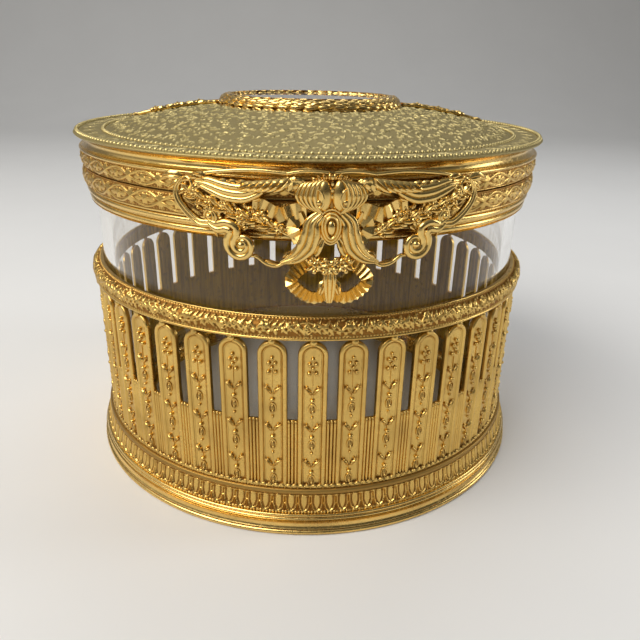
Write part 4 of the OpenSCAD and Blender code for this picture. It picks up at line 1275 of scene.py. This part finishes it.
class CASKET_OT_medallion(bpy.types.Operator):
    """Makes the wreath round the medallion, the plaque and its bevelled glass"""

    bl_idname = "casket.medallion"
    bl_label = "Medallion"

    def execute(self, context):
        wreath = Shape()
        inner = R_PLAQUE + FIT
        height = Z_FRAME_TOP - Z_FRAME
        # painted shade: the ring under the leaves gets almost no relief and shows dark between them
        turned(wreath, [(inner, Z_FRAME), (R_FRAME - 0.8, Z_FRAME)]
               + arc(R_FRAME - 1.9, Z_FRAME + 1.2, 1.2, -40, 90, 10)
               + [(inner + 0.9, Z_FRAME + height * 0.72), (inner, Z_FRAME + height * 0.66)], 0.05)
        bundles = sizes().wreath
        rng = np.random.default_rng(5)
        for tilt, core, level, size in ((82, R_FRAME - 0.95, 0.9, 1.0),
                                        (50, R_FRAME - 1.3, 1.9, 1.05),
                                        (18, R_FRAME - 2.4, 2.55, 1.0),
                                        (-24, inner + 1.3, 2.5, 0.9)):
            pitch = 2 * math.pi * core / bundles
            for i in range(bundles):
                one = bundle(rng, pitch, size)
                start = 2 * math.pi * (i + rng.uniform(-0.12, 0.12)) / bundles
                wreath.extend(one, on_wreath(start, core, tilt, level))
        wreath.build("medallion_wreath", "lid", "chased_gilding", ["medallion_frame"])
        disc = [(0, Z_FRAME), (R_PLAQUE, Z_FRAME), (R_PLAQUE, Z_CRYSTAL), (0, Z_CRYSTAL)]
        turned_piece("medallion_enamel", "lid", "plaque_enamel",
                     ["medallion_plaque"], disc, steps=180, closed=False)
        low = Z_CRYSTAL + 0.02
        bevel = low + (Z_CRYSTAL_TOP - low) * 0.45
        turned_piece("medallion_crystal", "lid", "cup_glass", ["medallion_glass"],
                     [(0, low), (R_PLAQUE, low), (R_PLAQUE, bevel), (R_PLAQUE - 1.6, Z_CRYSTAL_TOP),
                      (0, Z_CRYSTAL_TOP)], steps=180, closed=False, crease=10)
        return {"FINISHED"}


def dome_spray():
    """A ribbon spray that runs from the wreath towards the margin."""
    shape = Shape()
    start = R_FRAME - 0.3
    wave = [(start + 27 * t, 1.4 * math.sin(2 * math.pi * t)) for t in np.linspace(0, 1, 9)]
    line = curve(wave, 4)
    bar(shape, line, 0.7, 0.8, (1, 0.9, 0.8, 0.7), lift=0.55)
    pleated(shape, line[1:24] + np.array([0, -1.2]), 2.3, 9, 0.7, 0.3)
    pleated(shape, line[1:17] + np.array([0, 1.6]), 2.0, 6, 0.6, 0.3)
    for k in range(10):
        x, y = line[4 + 2 * k]
        side = 1 if k % 2 else -1
        leaf(shape, (x, y), side * 40, 4.4 - 0.15 * k, 1.9, 0.45, 0.6, lobes=2, bend=-side * 35)
        ball(shape, (x + 1.1, y - side * 0.9, 0.9), (0.5, 0.5, 0.5), rings=5, sides=8)
    for k in (8, 16, 24):
        blossom(shape, line[k][0], line[k][1], 1.9, 0.9, 5, 20 * k)
    leaf(shape, line[-3], 0, 3.4, 2.2, 0.3, 0.5, lobes=2)
    return shape


class CASKET_OT_sprays(bpy.types.Operator):
    """Makes the two cast sprays beside the medallion"""

    bl_idname = "casket.sprays"
    bl_label = "Sprays"

    def execute(self, context):
        for node, turn, flip in (("dome_spray_right", 0, 1), ("dome_spray_left", 180, -1)):
            flipped = Shape()
            flipped.extend(dome_spray(), lambda points, flip=flip: points * np.array([1, flip, 1]))
            spray = Shape()
            spray.extend(flipped, on_dome(turn))
            spray.build(f"{node}_cast", "lid", "chased_gilding", [node])
        return {"FINISHED"}


# --- Front mount --------------------------------------------------------------

# Places on the mount are (along the lid from its middle, height above the seam, outwards),
# drawn for the right-hand side and mirrored.


def ribbed_shell(shape):
    """Plump shell: ribs fan out round a lobe that carries a button."""
    for k, lift in enumerate((1.75, 1.65, 1.4, 1.05, 0.65)):
        rib = curve([(2.0 + 0.62 * k, 2.7 - 0.12 * k), (3.2 + 0.86 * k, 1.5 - 0.05 * k),
                     (3.75 + 0.98 * k, -0.9), (3.2 + 0.72 * k, -3.0), (2.0 + 0.35 * k, -4.4)], 7)
        bar(shape, rib, 0.66, 0.95, (0.3, 0.8, 1.05, 0.85, 0.35), lift=lift)
    # painted shade: a dark bar behind the ribs fills the shell's hollow
    bar(shape, [(0.6 + 1.1 * k, -0.9) for k in range(6)], 2.9, 1.3, (0.7, 1, 1, 0.8, 0.4), sides=20,
        lift=0.4, relief=0.05)
    ball(shape, (1.75, -0.7, 1.2), (1.85, 3.5, 1.55), relief=1.0, rings=13, sides=24)
    hook = curve([(3.4, 0.9), (2.4, 0.2), (1.9, -1.4), (2.4, -2.9), (3.4, -3.0)], 6)
    bar(shape, hook, 0.42, 0.6, (0.5, 1, 1.1, 1, 0.6), lift=2.2)
    ball(shape, (2.9, -2.0, 2.2), (0.6, 0.7, 0.6), relief=1.0, rings=9, sides=14)


def oval_boss(shape):
    """Oval cabochon in nested rims."""
    centre = (0, -7.5)
    angles = np.linspace(0, 2 * math.pi, 37)
    for across, up, lift in ((2.75, 3.8, 0.85), (2.05, 3.1, 1.4), (1.4, 2.4, 1.75)):
        wide = across * np.sin(angles) * (1 + 0.12 * np.cos(angles))
        path = np.stack([centre[0] + wide, centre[1] + up * np.cos(angles)], -1)
        bar(shape, path, 0.46, 0.6, (1, 1), lift=lift, sides=10)
    # painted shade: a dark ground under the rims
    ball(shape, (*centre, 0.7), (2.9, 3.7, 1.1), relief=0.1, rings=9, sides=24)
    ball(shape, (*centre, 1.9), (0.95, 1.7, 0.85), rings=9, sides=16)


def acanthus_leg(shape):
    """Fluted leaf that springs from the boss and spreads to a thin tip."""
    outer = curve([(2.3, -4.6), (4.2, -6.6), (4.6, -9.2), (5.6, -12), (8, -14.4), (11.4, -15.7)])
    ribbed(shape, outer, 2.1, 1.6, 3, (0.5, 0.8, 1, 1, 0.62, 0.16), 0.6)
    inner = curve([(1.9, -10.2), (2.7, -11.6), (3.4, -13.2), (5.4, -14.6), (7.4, -15.2)])
    ribbed(shape, inner, 1.1, 1.2, 2, (0.6, 1, 0.9, 0.5, 0.2), 0.4)
    bar(shape, curve([(3.4, -5.4), (5.8, -7.4), (6, -9.6), (7.4, -12), (9.6, -13.6)]), 0.7, 0.8,
        (0.3, 0.9, 1, 0.7, 0.2), lift=0.6)
    leaf(shape, (8.4, -13.2), -18, 3.2, 1.5, 0.4, 0.6, lobes=2, bend=-30)


def centre_casting():
    """Shells, boss and legs."""
    half = Shape()
    ribbed_shell(half)
    acanthus_leg(half)
    bar(half, curve([(0.6, 3.9), (4, 4.2), (7, 4.1), (10, 3.6)]), 0.5, 0.6, (0.9, 0.9), lift=0.6)
    for k in range(4):
        leaf(half, (0.4 + 0.9 * k, 2.3 - 0.1 * k), 84 - 16 * k, 1.9, 1.2, 1.1 - 0.15 * k, 0.4)
    bar(half, curve([(6, 1.8), (7.4, 2), (8.6, 1.6), (10, 1.2)]), 1.3, 1.0, (0.3, 0.8, 1, 1.1),
        8, 0.14, 1.2, sides=24, lift=0.7)
    pleated(half, curve([(5.6, -4), (7.4, -4.1), (9, -4.3), (10, -4.7)]), 3.9, 2, 0.9, 0.4)
    pleated(half, curve([(6.2, -5.4), (8.8, -7), (8.2, -9), (7.2, -10.8)]), 3.2, 3, 1.0, 0.4)
    bar(half, curve([(5.4, -12.3), (7, -11.4), (8.4, -10.2), (9.9, -9.3)]), 0.4, 0.5, (0.9, 0.9),
        lift=0.7)
    shape = both_sides(half)
    oval_boss(shape)
    for k in range(4):
        ball(shape, (0, 3.2 - 1.3 * k, 1.6), (0.45, 0.7, 0.6), rings=5, sides=8)
    # painted shade: a dark bar down the middle, behind the beads
    bar(shape, [(0, 3.8 - 0.8 * i) for i in range(18)], 0.8, 0.9, (0.9, 0.9), lift=0.35, relief=0.2)
    return shape


def flowering_branch(shape):
    """Diagonal branch with slender leaves, buds and blossoms."""
    path = curve([(9.9, -9.3), (14, -7.4), (21, -5.5), (28, -3.2), (35, -0.8)], 8)
    bar(shape, path, 0.42, 0.5, (1, 0.9, 0.8, 0.6), lift=0.9)
    for k in range(1, 31, 2):
        x, y = path[k]
        side = 1 if k % 4 == 1 else -1
        leaf(shape, (x, y), 22 + side * 30, 3.9, 1.35, 0.9, 0.7, lobes=2, bend=-side * 28)
        leaf(shape, (x + 0.6, y), 22 - side * 60, 2.2, 1.1, 0.9, 0.6, bend=side * 30, steps=7)
    for x, y, r in ((11.8, -8.0, 1.6), (15.6, -5.6, 1.7), (20.4, -6.6, 1.7), (24.4, -3.4, 1.6),
                    (28.2, -4.0, 1.5), (31.6, -1.4, 1.5)):
        blossom(shape, x, y, r, 1.2, 5, 30 * x)


def granulation(shape, seed, count):
    """Small leaves and grains that fill the ground between the scrolls."""
    rng = np.random.default_rng(seed)
    for k in range(count):
        x = rng.uniform(16.5, 33)
        y = -1.2 + 0.12 * (x - 26) - rng.uniform(0, 6.4) * (1 - 0.35 * (x - 16.5) / 16.5)
        if k % 3:
            leaf(shape, (x, y), rng.uniform(-60, 120), rng.uniform(1.7, 2.8), 1.1,
                 rng.uniform(0.3, 0.8), 0.5, bend=rng.uniform(-50, 50), steps=6)
        else:
            size = rng.uniform(0.4, 0.65)
            ball(shape, (x, y, rng.uniform(0.5, 1.1)), (size, size, size), rings=5, sides=8)


def garland_casting():
    """One side of the garland."""
    shape = Shape()
    bar(shape, curve([(9.7, 3.6), (18, 4), (28, 3), (36.5, 0.8)], 10), 0.55, 0.6, (1, 0.9),
        lift=0.4)
    # acanthus leaf: slanting lobes, then a ribbed belly that ends in a curl
    belly = curve([(13.6, 1.6), (16.2, 0.3), (19.8, -0.8), (24, -0.5), (28, 0.6), (31.2, 1.0)], 8)
    ribbed(shape, belly, 2.0, 1.5, 3, (0.2, 0.7, 1, 1, 0.8, 0.3), 0.5)
    for k in range(6):
        leaf(shape, (9.3 + 1.45 * k, 2.9 - 0.25 * k), -50 + 4 * k, 5.4, 2.3, 1.1, 0.8, bend=30,
             rise=0.8)
    for k in range(5):
        leaf(shape, (18.4 + 2.2 * k, 0.6 + 0.1 * k), 30 - 3 * k, 3.4, 1.7, 0.9, 0.5, bend=-26,
             steps=7)
        leaf(shape, (15.6 + 2.5 * k, -1.4 + 0.3 * k), -22 + 3 * k, 3.2, 1.4, 0.5, 0.5, bend=30,
             steps=7)
    for k in range(4):
        leaf(shape, (28.4 + 1.7 * k, 2.2 - 0.3 * k), 16 - 10 * k, 3.8, 1.6, 0.6, 0.5, lobes=3,
             bend=-16)
        leaf(shape, (28 + 1.9 * k, 0.6 - 0.4 * k), -14 - 8 * k, 3.6, 1.5, 0.6, 0.6, lobes=3,
             bend=20)
    # ribbon behind, in pleats
    ribbon = curve([(9.8, -4.6), (11.8, -5.1), (13.8, -4.4), (15.6, -3.4), (17.6, -3.2)])
    pleated(shape, ribbon, 3.9, 4, 0.8, 0.4)
    granulation(shape, 11, 60)
    flowering_branch(shape)
    # C-scroll at the end
    arm = curve([(34.6, 1.4), (36.2, -0.6), (35.9, -3.2), (33.4, -6), (30.6, -7.8), (28.4, -7.9)],
                6)
    scroll(shape, arm, (28, -6.2), 1.7, -84, -1.05, 0.85, 1.1, 2, 0.7, 0.6)
    bar(shape, spiral(33.4, 0.2, 1.8, 0.5, 30, 1.1, 16), 0.6, 0.9, lift=0.9)
    # S-scroll with the large volute
    stem = curve([(28.4, -7.4), (26.2, -8.4), (24, -8), (22.2, -8.5)], 6)
    scroll(shape, stem, (20.4, -12), 2.9, 52, -1.15, 1.5, 1.6, 2, 0.6, 0.8)
    leaf(shape, (27.4, -8.2), -120, 3.2, 1.5, 0.5, 0.5, lobes=2, bend=20)
    # vine from the volute to the leg
    vine = curve([(20.2, -15), (17.4, -14.6), (14.8, -16.2), (12.2, -16.6), (10, -15.3)])
    bar(shape, vine, 0.5, 0.6, (0.8, 1, 0.9), lift=0.6)
    leaf(shape, (15.4, -15.4), 196, 4.4, 1.2, 0.4, 0.4, bend=-16)
    # leaf that ends the garland
    leaf(shape, (34.6, 1.2), 24, 6.8, 2.4, 0.4, 0.7, lobes=4, bend=-62)
    leaf(shape, (34.4, 0.6), -8, 5.2, 1.9, 0.6, 0.6, lobes=3, bend=-40)
    return shape


def pendant_casting():
    """Bow with two pleated loops, flowers and a folded knot."""
    half = Shape()
    loop = curve([(1.2, -15.6), (4.4, -15.7), (7.2, -17.2), (9.0, -19.7), (7.3, -22), (4.2, -23.7),
                  (1, -23.2)], 8)
    pleated(half, loop, 3.3, 15, 1.1, 0.42)
    blossom(half, 2.6, -16, 1.9, 1.6, 5, 15)
    for angle in (24, 66, -30):
        leaf(half, (3.2, -15.8), angle, 3.2, 1.5, 1.0, 0.6, lobes=2)
    for x, y in ((1.2, -14.6), (3.6, -17.4), (1.4, -17.6), (4.4, -15)):
        ball(half, (x, y, 1.9), (0.6, 0.6, 0.6), rings=6, sides=9)
    leaf(half, (0.8, -19), -66, 5.2, 2.2, 0.8, 0.7, lobes=3, bend=-10)
    shape = both_sides(half)
    blossom(shape, 0, -16.4, 2.1, 1.8, 6)
    tail = [(0, -17.6 - 0.6 * k) for k in range(13)]
    ribbed(shape, tail, 1.5, 1.5, 3, (0.7, 1, 0.9, 0.75, 0.45), 0.8)
    # painted shade: a dark bar down the middle, behind the blossom and the tail
    bar(shape, [(0, -15.2 - 0.5 * i) for i in range(8)], 0.9, 0.9, (0.9, 0.9), lift=0.4, relief=0.2)
    return shape


class CASKET_OT_front_mount(bpy.types.Operator):
    """Makes the cast openwork mount on the front of the lid"""

    bl_idname = "casket.front_mount"
    bl_label = "Front mount"

    def execute(self, context):
        wall = on_wall(R_MOUNT)

        def hang(points, side=1):
            shifted = points * np.array([side, MOUNT_STRETCH, 1])
            shifted += np.array([0, Z_MOUTH + MOUNT_RISE, 0])
            shifted[:, 2] = np.clip(shifted[:, 2], MOUNT_BACK, MOUNT_PROUD)
            return wall(shifted)

        castings = (("mount_centre", centre_casting(), 1),
                    ("mount_garland_right", garland_casting(), 1),
                    ("mount_garland_left", garland_casting(), -1),
                    ("mount_pendant", pendant_casting(), 1))
        for node, form, side in castings:
            casting = Shape()
            casting.extend(form, lambda points, side=side: hang(points, side))
            casting.build(f"{node}_cast", "lid", "chased_gilding", [node])
        return {"FINISHED"}


class CASKET_OT_hinge(bpy.types.Operator):
    """Gives the hinge, its rivets and the nuts of the mount their brass"""

    bl_idname = "casket.hinge"
    bl_label = "Hinge and nuts"

    def execute(self, context):
        for node in ("hinge_leaf_body", "hinge_leaf_lid", "hinge_pin", "hinge_rivets_body",
                     "hinge_rivets_lid", "mount_nuts"):
            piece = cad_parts[node]
            piece.data.materials.clear()
            piece.data.materials.append(finish_named("hinge_brass"))
        return {"FINISHED"}


# --- Stage --------------------------------------------------------------------


class CasketStage(bpy.types.PropertyGroup):
    """Floor, lamps and camera."""

    floor: FloatVectorProperty(
        name="Floor", description="Colour of the floor and the backdrop", subtype="COLOR",
        default=(0.83, 0.82, 0.80), min=0, max=1)
    distance: FloatProperty(
        name="Distance", description="Distance of the camera from the axis of the cup",
        default=0.210, min=0.15, max=1, unit="LENGTH")
    height: FloatProperty(
        name="Height", description="Height of the camera above the floor", default=0.1238, min=0,
        max=1, unit="LENGTH")
    lens: FloatProperty(
        name="Lens", description="Focal length of the camera, in millimetres", default=34.37,
        min=20, max=100)


def aim(thing, eye, target):
    """Turns a lamp or a camera at eye towards a target."""
    thing.location = eye
    thing.rotation_euler = (Vector(target) - Vector(eye)).to_track_quat("-Z", "Y").to_euler()


def softbox(name, eye, target, width, height, power, colour=(1, 1, 1)):
    """A rectangular soft lamp."""
    lamp = bpy.data.lights.new(name, "AREA")
    lamp.shape = "RECTANGLE"
    lamp.size = width
    lamp.size_y = height
    lamp.energy = power
    lamp.color = colour
    thing = bpy.data.objects.new(name, lamp)
    bpy.context.scene.collection.objects.link(thing)
    aim(thing, eye, target)


class CASKET_OT_stage(bpy.types.Operator):
    """Sets the pale floor, the lamps and the camera"""

    bl_idname = "casket.stage"
    bl_label = "Stage"

    def execute(self, context):
        stage = context.scene.casket_stage
        self.floor(tuple(stage.floor))
        self.lamps(context.scene)
        self.camera(context.scene, stage)
        context.scene.view_settings.view_transform = "Standard"
        return {"FINISHED"}

    def floor(self, colour):
        """A floor that curves up into the backdrop."""
        sweep = [(-2.5, 0.0), (0.9, 0.0)]
        sweep += [(0.9 + 0.5 * math.sin(a), 0.5 - 0.5 * math.cos(a))
                  for a in np.linspace(0.1, math.pi / 2, 14)]
        sweep.append((1.4, 2.5))
        mesh = bpy.data.meshes.new("floor")
        points = [(x, y, z) for y, z in sweep for x in (-3, 3)]
        faces = [(2 * i, 2 * i + 1, 2 * i + 3, 2 * i + 2) for i in range(len(sweep) - 1)]
        mesh.from_pydata(points, [], faces)
        mesh.polygons.foreach_set("use_smooth", [True] * len(faces))
        cloth = Finish("pale_floor")
        mottled = cloth.blend(cloth.noise(9), colour, shaded(colour, 0.94))
        mesh.materials.append(cloth.dress(Base_Color=mottled, Roughness=0.85))
        piece = bpy.data.objects.new("floor", mesh)
        bpy.context.scene.collection.objects.link(piece)

    def lamps(self, scene):
        """Soft lamps at the left, right and rear, and a sky that darkens towards the front."""
        centre = (0, 0, 0.06)
        softbox("key", (-0.5, -0.35, 0.75), centre, 0.7, 0.5, 6.4, (1.0, 0.97, 0.92))
        softbox("side", (0.8, 0.0, 0.35), centre, 0.2, 0.5, 1.6, (0.93, 0.96, 1.0))
        softbox("rear", (0.1, 0.5, 0.9), centre, 0.7, 0.3, 2.0, (0.95, 0.97, 1.0))
        world = bpy.data.worlds.new("studio")
        scene.world = world
        world.use_nodes = True
        sky = Nodes(world.node_tree)
        split = sky.add("ShaderNodeSeparateXYZ")
        sky.feed(split.inputs["Vector"], sky.add("ShaderNodeTexCoord").outputs["Generated"])
        climb = sky.between(split.outputs["Z"], 0.0, 1.0, 0.1, 0.45)
        leftwards = sky.between(split.outputs["X"], 1.0, 0.0, -0.5, 0.6)
        upper = sky.blend(leftwards, (0.20, 0.21, 0.22), (0.75, 0.76, 0.77))
        lower = sky.blend(leftwards, (0.10, 0.085, 0.07), (0.34, 0.32, 0.30))
        forwards = sky.between(split.outputs["Y"], 0.75, 0.0, -0.9, 0.1)
        light = sky.blend(forwards, sky.blend(climb, lower, upper), (0.02, 0.018, 0.015))
        background = sky.tree.nodes["Background"]
        sky.feed(background.inputs["Color"], light)
        sky.feed(background.inputs["Strength"], 0.9)

    def camera(self, scene, stage):
        """Camera where the photograph was taken, a little to the left of the mount."""
        pitch, roll, yaw, turn = (math.radians(a) for a in (23.05, 1.249, 1.288, -4.0))
        ahead = Vector((math.sin(yaw) * math.cos(pitch), math.cos(yaw) * math.cos(pitch),
                        -math.sin(pitch)))
        right = Vector((math.cos(yaw), -math.sin(yaw), 0))
        up = right.cross(ahead)
        across = math.cos(roll) * right + math.sin(roll) * up
        above = -math.sin(roll) * right + math.cos(roll) * up
        spin = Matrix.Rotation(turn, 3, "Z")
        axes = [spin @ v for v in (across, above, -ahead)]
        camera = bpy.data.cameras.new("camera")
        camera.sensor_width = 36
        camera.lens = stage.lens
        camera.clip_start = 0.01
        thing = bpy.data.objects.new("camera", camera)
        scene.collection.objects.link(thing)
        place = spin @ Vector((0, -stage.distance, stage.height))
        thing.matrix_world = Matrix.Translation(place) @ Matrix(axes).transposed().to_4x4()
        scene.camera = thing


# --- Panel and registration ---------------------------------------------------

STEPS = (
    CASKET_OT_foot, CASKET_OT_gallery, CASKET_OT_band, CASKET_OT_cup, CASKET_OT_collar,
    CASKET_OT_lid_sides, CASKET_OT_lid_plate, CASKET_OT_beading, CASKET_OT_medallion,
    CASKET_OT_sprays, CASKET_OT_front_mount, CASKET_OT_hinge, CASKET_OT_stage,
)


class CASKET_PT_panel(bpy.types.Panel):
    """Lists the pieces of the casket"""

    bl_idname = "CASKET_PT_panel"
    bl_label = "Glass casket"
    bl_space_type = "VIEW_3D"
    bl_region_type = "UI"
    bl_category = "Casket"

    def draw(self, context):
        scene = context.scene
        for group in (scene.casket_sizes, scene.casket_finish, scene.casket_stage):
            for key in group.__annotations__:
                self.layout.prop(group, key)
        for step in STEPS:
            self.layout.operator(step.bl_idname)


CLASSES = (CasketFinish, CasketSizes, CasketStage, *STEPS, CASKET_PT_panel)


def register():
    """Registers the classes and hangs the settings on the scene."""
    for one in CLASSES:
        bpy.utils.register_class(one)
    bpy.types.Scene.casket_finish = PointerProperty(type=CasketFinish)
    bpy.types.Scene.casket_sizes = PointerProperty(type=CasketSizes)
    bpy.types.Scene.casket_stage = PointerProperty(type=CasketStage)


def unregister():
    """Takes the settings and the classes away again."""
    del bpy.types.Scene.casket_stage
    del bpy.types.Scene.casket_sizes
    del bpy.types.Scene.casket_finish
    for one in reversed(CLASSES):
        bpy.utils.unregister_class(one)


def main():
    """Makes every piece."""
    register()
    for step in STEPS:
        area, name = step.bl_idname.split(".")
        getattr(getattr(bpy.ops, area), name)()


if __name__ == "__main__":
    main()
